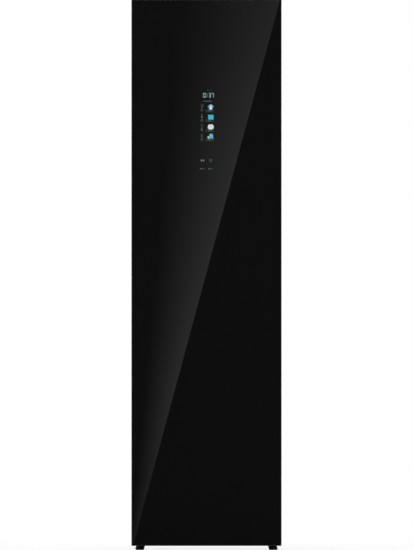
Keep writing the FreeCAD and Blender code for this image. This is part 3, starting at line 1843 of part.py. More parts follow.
def coil(label, front):
    """A finned coil: fins between two end plates."""
    made = Piece(label)
    left = "duct_middle - coil_width / 2"
    right = "duct_middle + coil_width / 2"
    low = "duct_low + duct_wall"
    high = f"{low} + coil_height"
    back = f"{front} + coil_depth"
    for start, end in ((low, f"{low} + coil_plate"), (f"{high} - coil_plate", high)):
        if start == low:
            made.pad("XY", start, end, rect(left, front, right, back))
            fin = rect(left, front, f"{left} + coil_fin", back)
            comb = made.pad("XY", end, f"{high} - coil_plate", fin)
            pitch = "(coil_width - coil_fin) / (coil_fins - 1)"
            made.repeat(comb, "H", pitch, "coil_fins")
        else:
            made.pad("XY", start, end, rect(left, front, right, back))
    made.done()


def heat_duct():
    """Air duct under the chamber that holds both coils, with a throat over the tank bay."""
    duct = Piece("heat_duct")

    def section(low, inset):
        """The duct's section from a height up, this far inside its outer faces."""
        return rect(
            f"duct_x + {inset}", f"{low} + {inset}", f"duct_end - {inset}", f"duct_top - {inset}"
        )

    duct.pad("XZ", "well_back", "duct_front", section("throat_low", "0"))
    duct.pad("XZ", "duct_front", "fan_front", section("duct_low", "0"))
    duct.pocket("XZ", "well_back", "duct_front + duct_wall", section("throat_low", "duct_wall"))
    duct.pocket("XZ", "duct_front + duct_wall", "fan_front", section("duct_low", "duct_wall"))
    duct.done()


def scroll(shrink):
    """The fan housing's outline in X and Z, moved inwards by this much."""
    x, z = value("duct_middle"), value("fan_height")
    start, right, bottom, left = (
        value(f"scroll_{side}_radius") - shrink for side in ("top", "right", "bottom", "left")
    )
    tongue = value("scroll_tongue_width") + shrink
    top = value("port_low + port_height + fan_wall") - shrink

    def at(radius, degrees):
        """A point of the spiral."""
        turn = math.radians(degrees)
        return V(x + radius * math.cos(turn), 0, z + radius * math.sin(turn))

    first = V(x - tongue, 0, z + start)
    edges = [
        Part.Arc(first, at((start + right) / 2, 45), at(right, 0)).toShape(),
        Part.Arc(at(right, 0), at((right + bottom) / 2, -45), at(bottom, -90)).toShape(),
        Part.Arc(at(bottom, -90), at((bottom + left) / 2, -135), at(left, 180)).toShape(),
        Part.LineSegment(at(left, 180), V(x - left, 0, top)).toShape(),
    ]
    right_side = x + value("port_width") / 2 + value("fan_wall") - shrink
    corners = [
        V(x - left, 0, top),
        V(right_side, 0, top),
        V(right_side, 0, value("port_low")),
        V(x - tongue, 0, z + start + value("fan_wall") * 4),
        first,
    ]
    for a, b in zip(corners, corners[1:]):
        edges.append(Part.LineSegment(a, b).toShape())
    return Part.Face(Part.Wire(edges))


def fan_housing():
    """Scroll housing with its inlet towards the duct and its outlet at the chamber's port."""
    wall = value("fan_wall")
    front, back = value("fan_front"), value("fan_back")
    shell = scroll(0).extrude(V(0, back - front, 0))
    hollow = scroll(wall).extrude(V(0, back - front - wall * 2, 0))
    hollow.translate(V(0, wall, 0))
    x, z = value("duct_middle"), value("fan_height")
    inlet = Part.makeCylinder(value("inlet_radius"), wall * 2, V(x, -wall / 2, z), AXES["Y"])
    low = value("port_low")
    outlet = Part.makeBox(
        value("port_width"),
        wall * 2,
        value("port_height") - wall,
        V(x - value("port_width") / 2, -wall / 2, low),
    )
    housing = shaped("fan_housing", shell.cut(hollow).cut(inlet).cut(outlet))
    place(housing, "0", "fan_front", "0")
    sub_parts.append(housing)


def fan_wheel():
    """Centrifugal wheel: back plate, hub and a ring of curved blades."""
    wheel = Piece("fan_wheel")
    bore = ("0", "0", "fan_shaft_radius + running_gap")
    wheel.pad("XY", "0", "wheel_plate", ("0", "0", "wheel_radius"), bore)
    hub = ("0", "0", "wheel_hub")
    wheel.pad("XY", "wheel_plate", "wheel_depth / 2", hub, bore)
    blade = [
        ("wheel_eye", "0"),
        ("(wheel_eye + wheel_radius) / 2", "wheel_blade_thick * 2"),
        ("wheel_radius - wheel_blade_thick", "wheel_blade_thick * 6"),
        ("wheel_radius - wheel_blade_thick * 2", "wheel_blade_thick * 6.5"),
        ("(wheel_eye + wheel_radius) / 2 - wheel_blade_thick / 2", "wheel_blade_thick * 3"),
        ("wheel_eye", "wheel_blade_thick"),
    ]
    vane = wheel.pad("XY", "wheel_plate", "wheel_depth", blade)
    wheel.circle_of(vane, "wheel_blades")
    ring = [("0", "0", "wheel_radius"), ("0", "0", "wheel_radius - wheel_plate * 2")]
    wheel.pad("XY", "wheel_depth - wheel_plate", "wheel_depth", *ring)
    wheel.body.Placement = FreeCAD.Placement(V(), FreeCAD.Rotation(AXES["X"], 90))
    place(wheel.body, "duct_middle", "wheel_back", "fan_height")
    wheel.done()


def fan_motor():
    """Flat motor on the housing's rear wall, with the wheel's shaft."""
    motor = Piece("fan_motor")
    length = "fan_depth - fan_wall * 2 - wheel_front_gap - wheel_depth / 2"
    motor.turn(
        [
            ("0", "0"),
            ("fan_motor_radius", "0"),
            ("fan_motor_radius", "fan_motor_depth"),
            ("fan_shaft_radius", "fan_motor_depth"),
            ("fan_shaft_radius", length),
            ("0", length),
        ]
    )
    motor.body.Placement = FreeCAD.Placement(V(), FreeCAD.Rotation(AXES["X"], 90))
    place(motor.body, "duct_middle", "fan_back - fan_wall", "fan_height")
    motor.done()


def compressor():
    """Compressor can on a plate with four rubber feet, and its receiver."""
    can = Piece("can")
    shoulder = "compressor_low + compressor_height - compressor_dome"
    top = "compressor_low + compressor_height"
    can.turn(
        [
            ("0", "compressor_low"),
            ("compressor_radius", "compressor_low"),
            ("compressor_radius", shoulder),
            ("compressor_radius * 0.8", f"{shoulder} + compressor_dome * 0.7"),
            ("compressor_radius * 0.4", top),
            ("0", top),
        ]
    )
    can.stand("compressor_x", "compressor_y", "0")
    half = "compressor_plate_half"
    plate_low = "compressor_low - compressor_plate"
    plate = block(
        "plate",
        f"compressor_x - {half}",
        f"compressor_x + {half}",
        f"compressor_y - {half}",
        f"compressor_y + {half}",
        plate_low,
        "compressor_low",
    )
    receiver = rod(
        "receiver", "receiver_radius", "receiver_height", "compressor_x", "receiver_y", "receiver_low"
    )
    stay = block(
        "stay",
        "compressor_x - pipe_radius",
        "compressor_x + pipe_radius",
        "receiver_y + receiver_radius / 2",
        "compressor_y",
        "compressor_low + compressor_height / 2",
        "compressor_low + compressor_height / 2 + pipe_bend",
    )
    inset = f"({half} - compressor_foot_radius)"
    rubber = [
        rod(
            "rubber_foot",
            "compressor_foot_radius",
            "compressor_foot",
            f"compressor_x + {side} * {inset}",
            f"compressor_y + {end} * {inset}",
            "pan_floor",
        )
        for side in (-1, 1)
        for end in (-1, 1)
    ]
    group("compressor", fused("compressor_can", can.body, plate, receiver, stay), *rubber)


def refrigerant_pipes():
    """Copper pipes: compressor to condenser, condenser to evaporator, and back."""
    x, y = value("compressor_x"), value("compressor_y")
    bend = value("pipe_bend")
    wall = value("duct_end")
    upper = value("duct_top") - bend * 3
    under = upper - bend * 2
    warm = value("condenser_front + coil_depth / 2")
    cold = value("evaporator_front + coil_depth / 2")
    back = value("receiver_y")
    hot = [V(x, y, value("compressor_low + compressor_height")), V(x, y, upper)]
    hot += [V(x, warm, upper), V(wall, warm, upper)]
    returning = [V(wall, cold, under), V(x, cold, under), V(x, back, under)]
    returning += [V(x, back, value("receiver_low + receiver_height"))]
    radius = value("pipe_radius")
    tubes = [shaped("pipe", bent_tube(route, radius, bend)) for route in (hot, returning)]
    side = "duct_middle - coil_width / 2 + coil_width / 4"
    level = "duct_low + duct_wall + coil_height - coil_plate - pipe_radius"
    start = "evaporator_front + coil_depth"
    tubes.append(rod("link", "pipe_radius", "coil_space", side, start, level, "Y"))
    group("refrigerant_pipes", *tubes)


MAKERS = (
    door_glass, door_frame, door_liner, door_foam, display_module, door_gasket, hinge_blocks,
    trouser_press, trouser_hook, scent_box,
    outer_case, front_frame, back_panel, top_cover, base_pan, felt_sheets, rear_screws,
    hinges, feet, mains_inlet,
    inner_liner, floor_tray, led_lamp, air_panel, shelf_rack, steam_outlet, lint_filter,
    hanger_rail, rail_slider, guide_rods, drive_plate, crank_pulley,
    motor_pulley, rail_motor, drive_belt, rail_hood, control_box,
    tank_bay, steam_boiler, steam_hose, water_pumps,
    heat_duct, fan_housing, fan_wheel, fan_motor, compressor, refrigerant_pipes,
)


def main():
    for make in MAKERS:
        make()
    water_tank("supply", "-half_bay + tank_gap")
    water_tank("drain", "tank_gap / 2")
    coil("evaporator", "evaporator_front")
    coil("condenser", "condenser_front")
    doc.recompute()
    for item in doc.Objects:
        if {"Invalid", "Error"} & set(item.State):
            raise RuntimeError(f"{item.Label} failed: {item.State}")
    os.makedirs("parts", exist_ok=True)
    for item in sub_parts:
        shape = item.Shape
        if shape.isNull() or not shape.isValid() or not shape.Solids:
            raise RuntimeError(f"{item.Label} has no valid solid")
        shape.exportStep(f"parts/{item.Label}.step")


main()
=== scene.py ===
"""Looks of the clothes care steam cabinet.

Metres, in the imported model's frame: X to the right, Y to the back, Z up, floor at zero.
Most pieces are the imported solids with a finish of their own. Made here are the padded press
pad, the door's bulb seals, the filter's wire cloth, the rear panel's screws, the tanks' level
bars and the display's lit marks.
"""

import json
import math

import bmesh
import bpy
from mathutils import Matrix, Vector


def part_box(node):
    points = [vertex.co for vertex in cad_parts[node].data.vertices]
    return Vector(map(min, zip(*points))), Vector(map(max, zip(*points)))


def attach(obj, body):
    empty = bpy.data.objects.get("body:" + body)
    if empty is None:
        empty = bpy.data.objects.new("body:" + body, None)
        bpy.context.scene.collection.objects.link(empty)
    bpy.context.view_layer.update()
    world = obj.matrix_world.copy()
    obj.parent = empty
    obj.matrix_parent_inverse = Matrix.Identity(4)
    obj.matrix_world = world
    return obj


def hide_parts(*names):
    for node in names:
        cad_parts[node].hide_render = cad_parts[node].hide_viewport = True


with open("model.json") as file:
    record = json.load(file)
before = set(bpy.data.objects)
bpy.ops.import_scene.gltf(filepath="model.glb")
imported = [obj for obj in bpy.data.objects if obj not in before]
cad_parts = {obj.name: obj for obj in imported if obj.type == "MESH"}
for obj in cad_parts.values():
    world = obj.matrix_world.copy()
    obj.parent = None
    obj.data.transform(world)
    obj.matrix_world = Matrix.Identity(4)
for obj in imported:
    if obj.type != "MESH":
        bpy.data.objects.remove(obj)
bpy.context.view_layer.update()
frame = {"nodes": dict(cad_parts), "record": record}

MM = 0.001
nodes = frame["nodes"]


# ------------------------ node trees


class Signal:
    """One output of a node, with arithmetic that adds Math nodes."""

    def __init__(self, nodes, socket):
        self.nodes = nodes
        self.socket = socket

    def maths(self, operation, *values):
        numbered = dict(enumerate(values))
        return self.nodes.node("ShaderNodeMath", {"operation": operation}, numbered)

    def __add__(self, other):
        return self.maths("ADD", self, other)

    def __sub__(self, other):
        return self.maths("SUBTRACT", self, other)

    def __rsub__(self, other):
        return self.maths("SUBTRACT", other, self)

    def __mul__(self, other):
        return self.maths("MULTIPLY", self, other)

    def __truediv__(self, other):
        return self.maths("DIVIDE", self, other)

    def __pow__(self, other):
        return self.maths("POWER", self, other)

    __radd__, __rmul__ = __add__, __mul__

    def above(self, level):
        """1 where the signal is greater than a level."""
        return self.maths("GREATER_THAN", self, level)

    def size(self):
        return self.maths("ABSOLUTE", self)

    def wave(self):
        return self.maths("SINE", self)

    def lowest(self, other):
        return self.maths("MINIMUM", self, other)

    def highest(self, other):
        return self.maths("MAXIMUM", self, other)

    def held(self, low=0.0, high=1.0):
        """Clamped between two levels."""
        return self.highest(low).lowest(high)

    def eased(self, start, end):
        """0 below start, 1 above end and smooth between."""
        settings = {"interpolation_type": "SMOOTHSTEP"}
        return self.nodes.node("ShaderNodeMapRange", settings, value=self, from_min=start,
                               from_max=end)


class Nodes:
    """A node tree that is being filled."""

    def __init__(self, tree):
        self.tree = tree

    def node(self, kind, settings=None, numbered=None, output=0, **sockets):
        """Adds a node, sets it, joins its sockets and gives one of its outputs.

        Sockets are given by their number, or by name: from_min is From Min.
        """
        made = self.tree.nodes.new(kind)
        for name, setting in (settings or {}).items():
            setattr(made, name, setting)
        named = {name.replace("_", " ").title(): value for name, value in sockets.items()}
        for socket, value in {**(numbered or {}), **named}.items():
            self.join(made.inputs[socket], value)
        return None if output is None else Signal(self, made.outputs[output])

    def join(self, socket, value):
        if isinstance(value, Signal):
            self.tree.links.new(value.socket, socket)
        else:
            socket.default_value = value

    def parts_of(self, vector):
        """The X, Y and Z of a vector."""
        split = self.node("ShaderNodeSeparateXYZ", vector=vector).socket.node
        return [Signal(self, output) for output in split.outputs]

    def rays(self, *kinds):
        """For each kind, 1 where the ray is of it."""
        path = self.node("ShaderNodeLightPath").socket.node
        return [Signal(self, path.outputs[f"Is {kind} Ray"]) for kind in kinds]


class Look(Nodes):
    """A material, empty at first."""

    def __init__(self, name):
        self.material = bpy.data.materials.new(name)
        self.material.use_nodes = True
        super().__init__(self.material.node_tree)
        self.tree.nodes.clear()

    def surface(self, shader):
        self.node("ShaderNodeOutputMaterial", output=None, surface=shader)

    def shining(self, light):
        return self.node("ShaderNodeEmission", color=light)

    def mixed(self, share, *shaders):
        return self.node("ShaderNodeMixShader", None, dict(enumerate((share, *shaders))))


class Finish(Look):
    """A material on one Principled shader. Plain values go straight on its sockets."""

    def __init__(self, name, **plain):
        super().__init__(name)
        shader = self.node("ShaderNodeBsdfPrincipled")
        self.shader = shader.socket.node
        self.surface(shader)
        self.give(**plain)

    def give(self, **sockets):
        """Sets or joins the shader's sockets, by their short names."""
        for name, value in sockets.items():
            self.join(self.shader.inputs[SOCKETS[name]], value)
        return self

    def place(self, stretch=(1.0, 1.0, 1.0)):
        """Object coordinates, stretched."""
        where = self.node("ShaderNodeTexCoord", output="Object")
        return self.node("ShaderNodeMapping", vector=where, scale=stretch)

    def cloud(self, size, detail=3.0, rough=0.5, stretch=(1.0, 1.0, 1.0)):
        """Soft noise with lumps of a size."""
        return self.node("ShaderNodeTexNoise", output="Fac", vector=self.place(stretch),
                         scale=1 / size, detail=detail, roughness=rough)

    def grains(self, size, output="Distance"):
        """Cells of a size."""
        vector = self.place()
        return self.node("ShaderNodeTexVoronoi", output=output, vector=vector, scale=1 / size)

    def between(self, share, low, high):
        """Two colours mixed."""
        numbered = {0: share, 6: rgba(low), 7: rgba(high)}
        return self.node("ShaderNodeMix", {"data_type": "RGBA"}, numbered, output=2)

    def relief(self, height, depth, under=None):
        """A surface raised by a signal, this deep in metres, over another relief."""
        below = {} if under is None else {"normal": under}
        return self.node("ShaderNodeBump", height=height, distance=depth, strength=1.0, **below)

    def rimmed(self, tint, rim):
        """A colour that turns dark past a rim, if there is one: a half width, a foot and a top.
        The dark band is partly dark trim and partly painted shade on edge faces that lie in the
        gaps round the door.
        """
        if rim is None:
            return tint
        x, _, z = self.parts_of(self.place())
        past = x.size().above(rim[0]).highest(z.above(rim[2])).highest(1 - z.above(rim[1]))
        return self.between(past, tint, TRIM_AND_GAP_SHADE_DARK)

    def tinted(self, colour, spread, share):
        """The colour, darker and lighter by a spread as a signal goes from 0 to 1."""
        low = tuple(c * (1 - spread) for c in colour)
        high = tuple(min(1.0, c * (1 + spread)) for c in colour)
        return self.between(share, low, high)


SOCKETS = {
    "colour": "Base Color",
    "rough": "Roughness",
    "metal": "Metallic",
    "ior": "IOR",
    "normal": "Normal",
    "clear": "Transmission Weight",
    "coat": "Coat Weight",
    "coat_rough": "Coat Roughness",
    "sheen": "Sheen Weight",
    "sheen_rough": "Sheen Roughness",
    "gloss": "Specular IOR Level",
    "glow": "Emission Color",
    "glow_strength": "Emission Strength",
}


def rgba(colour):
    """A colour with its alpha. A signal stays as it is."""
    if isinstance(colour, Signal) or len(colour) == 4:
        return colour
    return (*colour, 1.0)


# ------------------------ finishes


def moulded(name, colour, rough=0.42, grain=0.9 * MM, depth=0.02 * MM, coat=0.0, rim=None,
            gloss=0.5):
    """Moulded plastic: a fine even grain, faint flow marks and a little handling haze."""
    made = Finish(name, coat=coat, coat_rough=0.12, gloss=gloss)
    flow = made.cloud(0.16, stretch=(1.0, 1.0, 0.35))
    haze = made.cloud(0.035, detail=5.0)
    pits = made.grains(grain)
    tint = made.rimmed(made.tinted(colour, 0.05, flow), rim)
    made.give(colour=tint, rough=rough + (haze - 0.5) * 0.10)
    return made.give(normal=made.relief(pits, depth))


def powder_coated(name, colour, rough=0.5, rim=None):
    """Powder coat on steel: fine orange peel over slow waves of the sheet."""
    made = Finish(name)
    sheet = made.cloud(0.25, detail=1.0)
    peel = made.cloud(1.6 * MM, detail=2.0)
    grit = made.grains(0.5 * MM)
    tint = made.rimmed(made.tinted(colour, 0.08, made.cloud(0.09)), rim)
    made.give(colour=tint, rough=rough + (peel - 0.5) * 0.16)
    flat = made.relief(sheet, 0.35 * MM)
    return made.give(normal=made.relief(peel + grit * 0.5, 0.05 * MM, under=flat))


def zinc_coated(name, colour):
    """Zinc-coated sheet steel with its spangle."""
    made = Finish(name, metal=1.0)
    spangle = made.grains(7 * MM, output="Color")
    tone = made.node("ShaderNodeRGBToBW", color=spangle)
    stain = made.cloud(0.12, detail=4.0)
    made.give(colour=made.tinted(colour, 0.14, tone * 0.7 + stain * 0.3))
    made.give(rough=0.34 + tone * 0.14)
    return made.give(normal=made.relief(made.cloud(0.9 * MM), 0.01 * MM))


def drawn_metal(name, colour, rough=0.3, along=0):
    """Bare metal with fine lines along one axis."""
    made = Finish(name, metal=1.0)
    stretch = [1.0, 1.0, 1.0]
    stretch[along] = 0.012
    lines = made.cloud(0.5 * MM, detail=4.0, rough=0.65, stretch=tuple(stretch))
    tone = made.cloud(0.05)
    made.give(colour=made.tinted(colour, 0.07, tone), rough=rough + (lines - 0.5) * 0.22)
    return made.give(normal=made.relief(lines, 0.012 * MM))


def cast_metal(name, colour):
    """Sand-textured casting."""
    made = Finish(name, metal=1.0)
    skin = made.cloud(1.3 * MM, detail=5.0, rough=0.7)
    made.give(colour=made.tinted(colour, 0.10, made.cloud(0.03)), rough=0.48 + (skin - 0.5) * 0.2)
    return made.give(normal=made.relief(skin, 0.12 * MM))


def rubbery(name, colour, rough=0.62):
    """Soft rubber or vinyl with a dull bloom."""
    made = Finish(name)
    bloom = made.cloud(0.02, detail=4.0)
    made.give(colour=made.tinted(colour, 0.12, bloom), rough=rough + (bloom - 0.5) * 0.14)
    return made.give(normal=made.relief(made.cloud(0.7 * MM), 0.03 * MM))


def felted(name, colour):
    """Needled felt: matted fibres in mixed greys."""
    made = Finish(name, sheen=0.5, sheen_rough=0.6)
    mat = made.cloud(2.2 * MM, detail=6.0, rough=0.75, stretch=(0.6, 1.0, 1.7))
    lumps = made.cloud(18 * MM, detail=2.0)
    made.give(colour=made.tinted(colour, 0.35, mat * 0.75 + lumps * 0.25), rough=0.95)
    return made.give(normal=made.relief(mat + lumps * 0.6, 0.8 * MM))


def foamed(name, colour):
    """Closed-cell foam."""
    made = Finish(name, rough=0.85)
    cells = made.grains(1.1 * MM)
    made.give(colour=made.tinted(colour, 0.12, made.cloud(0.05)))
    return made.give(normal=made.relief(cells, 0.25 * MM))


def black_glass(name, colour):
    """Back-printed toughened glass: near black, with the faintest of wipe marks."""
    made = Finish(name, ior=1.5)
    wipe = made.cloud(0.05, detail=4.0, stretch=(0.25, 1.0, 1.0))
    made.give(colour=made.tinted(colour, 0.06, made.cloud(0.4)))
    return made.give(rough=0.018 + wipe.eased(0.55, 0.8) * 0.012)


def clear_plastic(name, colour):
    """Smoky clear plastic with a soft haze."""
    made = Finish(name, clear=0.90, ior=1.46)
    haze = made.cloud(0.04, detail=4.0)
    made.give(colour=made.tinted(colour, 0.05, haze), rough=0.07 + haze * 0.08)
    return made.give(normal=made.relief(made.cloud(0.03, detail=1.0), 0.10 * MM))


def lamp_lens(name, colour):
    """Frosted lens, lit from inside and ribbed across."""
    made = Finish(name, rough=0.35, glow_strength=2.2)
    across = made.parts_of(made.place())[0]
    rib = (across * (2 * math.pi / (3 * MM))).wave()
    spots = (across * (2 * math.pi / (19 * MM))).wave() * 0.5 + 0.5
    made.give(colour=made.tinted(colour, 0.03, spots), glow=made.tinted(colour, 0.10, spots))
    return made.give(normal=made.relief(rib, 0.25 * MM))


def lit(name, colour, strength=1.0):
    """A lit mark of the display, made of fine dots."""
    made = Finish(name, colour=(0.0, 0.0, 0.0, 1.0), rough=0.05, glow_strength=strength)
    across, _, up = made.parts_of(made.place())
    turn = 2 * math.pi / (0.45 * MM)
    dots = (across * turn).wave() * (up * turn).wave()
    drift = made.cloud(5 * MM, detail=2.0)
    return made.give(glow=made.tinted(colour, 0.16, drift * 0.6 + dots.size() * 0.4))


def woven(name, colour, pitch=1.4 * MM):
    """Plain-weave cloth over soft padding."""
    made = Finish(name, sheen=0.35, sheen_rough=0.5)
    across, _, up = made.parts_of(made.place())
    warp = (across * (math.pi / pitch)).wave()
    weft = (up * (math.pi / pitch)).wave()
    weave = (warp * weft).size()
    slub = made.cloud(6 * MM, detail=4.0, stretch=(1.0, 1.0, 0.2))
    fuzz = made.cloud(0.5 * MM, detail=3.0)
    made.give(colour=made.tinted(colour, 0.22, weave * 0.5 + slub * 0.3 + fuzz * 0.2))
    made.give(rough=0.86 + (fuzz - 0.5) * 0.1)
    return made.give(normal=made.relief(weave + fuzz * 0.5, 0.22 * MM))


RECIPES = {
    "glass_black": (black_glass, {}),
    "edge_black": (moulded, {"rough": 0.40, "grain": 0.6 * MM, "gloss": 0.2}),
    "liner_pale": (moulded, {"rough": 0.34, "depth": 0.012 * MM, "coat": 0.15}),
    "foam": (foamed, {}),
    "display_light": (moulded, {"rough": 0.25}),
    "gasket_grey": (rubbery, {}),
    "block_grey": (moulded, {}),
    "pad_cloth": (woven, {}),
    "press_white": (moulded, {"rough": 0.30, "coat": 0.25}),
    "trim_grey": (moulded, {"rough": 0.40}),
    "case_black": (powder_coated, {}),
    "front_grey": (powder_coated, {"rough": 0.42}),
    "cover_black": (moulded, {"rough": 0.55, "grain": 1.1 * MM, "depth": 0.05 * MM}),
    "zinc_steel": (zinc_coated, {}),
    "felt": (felted, {}),
    "screw_steel": (drawn_metal, {"rough": 0.34}),
    "hinge_steel": (powder_coated, {"rough": 0.38}),
    "foot_black": (moulded, {"rough": 0.55, "gloss": 0.15}),
    "lamp_glow": (lamp_lens, {}),
    "panel_grey": (moulded, {"rough": 0.40}),
    "shelf_grey": (moulded, {"rough": 0.44, "grain": 1.2 * MM, "depth": 0.04 * MM}),
    "mesh_steel": (drawn_metal, {"rough": 0.28, "along": 2}),
    "bay_dark": (moulded, {"rough": 0.50, "depth": 0.04 * MM}),
    "rail_satin": (drawn_metal, {"rough": 0.30}),
    "slider_white": (moulded, {"rough": 0.28}),
    "rod_steel": (drawn_metal, {"rough": 0.12}),
    "bush_bronze": (cast_metal, {}),
    "pulley_black": (moulded, {"rough": 0.45}),
    "motor_steel": (drawn_metal, {"rough": 0.32, "along": 2}),
    "belt_rubber": (rubbery, {"rough": 0.7}),
    "box_white": (moulded, {"rough": 0.50}),
    "tank_clear": (clear_plastic, {}),
    "lid_grey": (moulded, {"rough": 0.32, "coat": 0.2}),
    "boiler_cast": (cast_metal, {}),
    "hose_rubber": (rubbery, {"rough": 0.5}),
    "duct_grey": (moulded, {"rough": 0.55}),
    "fin_aluminium": (drawn_metal, {"rough": 0.35, "along": 2}),
    "can_black": (powder_coated, {"rough": 0.35}),
    "copper": (drawn_metal, {"rough": 0.26}),
}

# Dark colour past the rims below: painted shade on the edge faces of the door shell and the front
# frame that show in the gaps round the door, and dark trim round the frame's margin.
TRIM_AND_GAP_SHADE_DARK = (0.012, 0.012, 0.013)
DOOR_SHELL_RIM = (0.2494, 0.0176, 1.8474)  # half width, foot and top of the pale face
FRAME_RIM = (0.2390, 0.0280, 1.8190)

record = frame["record"]
colours = {entry["slot"]: tuple(entry["base_color"][:3]) for entry in record["materials"]}
finishes = {}
for slot, colour in colours.items():
    recipe, extra = RECIPES[slot]
    finishes[slot] = recipe(slot, colour, **extra).material


def dress(piece, *materials):
    """Puts materials on a piece, in the order of its slots."""
    for number, material in enumerate(materials):
        if number < len(piece.material_slots):
            piece.material_slots[number].material = material
        else:
            piece.data.materials.append(material)


for part in record["subparts"]:
    dress(nodes[part["node"]], finishes[part["material_slot"]])

# The door shell and the front frame turn dark past their rims: painted shade in the gaps round the
# door, partly also dark trim round the frame.
for node, name, slot, rim in (
    ("door_liner", "door_shell", "liner_pale", DOOR_SHELL_RIM),
    ("front_frame", "frame_face", "front_grey", FRAME_RIM),
):
    recipe, extra = RECIPES[slot]
    dress(nodes[node], recipe(name, colours[slot], rim=rim, **extra).material)


# ------------------------ pieces


def linked(name, data):
    """A new object in the scene."""
    made = bpy.data.objects.new(name, data)
    bpy.context.scene.collection.objects.link(made)
    return made


def mesh_of(name, places, faces):
    mesh = bpy.data.meshes.new(name)
    mesh.from_pydata(places, [], faces)
    return mesh


def piece_of(name, mesh, body, slot, *materials):
    """A finished mesh as a piece that rides on a body."""
    piece = linked(name, mesh)
    dress(piece, *(materials or (finishes[slot],)))
    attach(piece, body)
    return piece


class Pattern(Nodes):
    """Geometry Nodes that repeat a shape, with named sizes."""

    def __init__(self, name, **sizes):
        super().__init__(bpy.data.node_groups.new(name, "GeometryNodeTree"))
        self.name, self.sizes = name, sizes
        for size, value in sizes.items():
            kind = "NodeSocketInt" if isinstance(value, int) else "NodeSocketFloat"
            self.tree.interface.new_socket(size, in_out="INPUT", socket_type=kind)
        self.tree.interface.new_socket("Mesh", in_out="OUTPUT", socket_type="NodeSocketGeometry")
        self.group = self.tree.nodes.new("NodeGroupInput")

    def __getitem__(self, size):
        return Signal(self, self.group.outputs[size])

    def vector(self, x=0.0, y=0.0, z=0.0):
        return self.node("ShaderNodeCombineXYZ", x=x, y=y, z=z)

    def moved(self, shape, *by, turn=(0.0, 0.0, 0.0)):
        by = self.vector(*by)
        return self.node("GeometryNodeTransform", geometry=shape, translation=by, rotation=turn)

    def row(self, count, start, step):
        """Points in a straight row."""
        return self.node("GeometryNodeMeshLine", count=count, start_location=self.vector(*start),
                         offset=self.vector(*step))

    def block(self, x, y, z):
        return self.node("GeometryNodeMeshCube", size=self.vector(x, y, z))

    def at_each(self, points, shape, **extra):
        """A shape at each point, with a rotation or a scale if given."""
        return self.node("GeometryNodeInstanceOnPoints", points=points, instance=shape, **extra)

    def several(self, kind, name, shapes, settings=None, **sockets):
        """A node with one socket that takes several shapes."""
        made = self.node(kind, settings, **sockets)
        for shape in shapes:
            self.tree.links.new(shape.socket, made.socket.node.inputs[name])
        return made

    def together(self, *shapes):
        return self.several("GeometryNodeJoinGeometry", "Geometry", reversed(shapes))

    def piece(self, shape, body, slot, place, material=None):
        """The pattern at its sizes as a plain mesh, put in its place on a body."""
        material = material or finishes[slot]
        real = self.node("GeometryNodeRealizeInstances", geometry=shape)
        painted = self.node("GeometryNodeSetMaterial", geometry=real, material=material)
        self.node("NodeGroupOutput", output=None, mesh=painted)
        carrier = linked(self.name, bpy.data.meshes.new(self.name))
        modifier = carrier.modifiers.new("pattern", "NODES")
        modifier.node_group = self.tree
        for item in self.tree.interface.items_tree:
            if item.in_out == "INPUT":
                modifier[item.identifier] = self.sizes[item.name]
        mesh = settled(carrier)
        mesh.transform(place)
        return piece_of(self.name, mesh, body, slot, material)


def settled(carrier):
    """The evaluated mesh of an object, which is then removed."""
    graph = bpy.context.evaluated_depsgraph_get()
    mesh = bpy.data.meshes.new_from_object(carrier.evaluated_get(graph))
    mesh.name = carrier.name
    bpy.data.objects.remove(carrier)
    return mesh


def outward(mesh):
    """Turns a closed mesh's faces outwards."""
    shape = bmesh.new()
    shape.from_mesh(mesh)
    bmesh.ops.recalc_face_normals(shape, faces=shape.faces)
    shape.to_mesh(mesh)
    shape.free()


def stood_up(x, y, z):
    """Puts a flat pattern upright at a place, facing the front."""
    return Matrix.Translation((x, y, z)) @ Matrix.Rotation(math.pi / 2, 4, "X")


# ------------------------ trouser press

PAD_LOW, PAD_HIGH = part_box("press_pad")
PAD_MIDDLE = (PAD_LOW + PAD_HIGH) / 2
PAD_ACROSS, PAD_UP = 48, 142  # cells of the cloth
PAD_ROUND = 10 * MM
PAD_SEAM = 2  # cells from the rim to the sewn line
PAD_BASE = PAD_LOW.y + 3.2 * MM  # the sewn line's depth
PAD_TOP = PAD_HIGH.y + 0.3 * MM
PAD_LIP = 0.9 * MM, 0.5 * MM  # how far behind the rim the cover is widest, and how much wider
BINDING = 1.6 * MM
BINDING_INSET, BINDING_DROP = 0.8 * MM, 1.0 * MM
THREAD_LIFT = 0.15 * MM
pad_step = ((PAD_HIGH.x - PAD_LOW.x) / PAD_ACROSS, (PAD_HIGH.z - PAD_LOW.z) / PAD_UP)


def rounded(x, z, half_x, half_z, radius):
    """A place in a rectangle drawn in towards the rectangle's round corners."""
    cx, cz = half_x - radius, half_z - radius
    over_x, over_z = abs(x) - cx, abs(z) - cz
    if over_x <= 0 or over_z <= 0:
        return x, z
    shrink = max(over_x, over_z) / math.hypot(over_x, over_z)
    return math.copysign(cx + over_x * shrink, x), math.copysign(cz + over_z * shrink, z)


def pad_cloth():
    """The pad's cover as cells of cloth, blown up between its rim and its sewn line."""
    half_x, half_z = PAD_ACROSS // 2, PAD_UP // 2
    places, held = [], []
    for j in range(-half_z, half_z + 1):
        for i in range(-half_x, half_x + 1):
            x, z = i * pad_step[0], j * pad_step[1]
            x, z = rounded(x, z, half_x * pad_step[0], half_z * pad_step[1], PAD_ROUND)
            inset = min(half_x - abs(i), half_z - abs(j))
            if inset in (0, PAD_SEAM):
                held.append(len(places))
            places.append((x + PAD_MIDDLE.x, PAD_BASE, z + PAD_MIDDLE.z))
    wide = PAD_ACROSS + 1
    faces = [
        (a, a + wide, a + wide + 1, a + 1)
        for j in range(PAD_UP)
        for a in range(j * wide, j * wide + PAD_ACROSS)
    ]
    cover = linked("pad_cloth", mesh_of("pad_cloth", places, faces))
    blow_up(cover, held)
    return settled(cover)


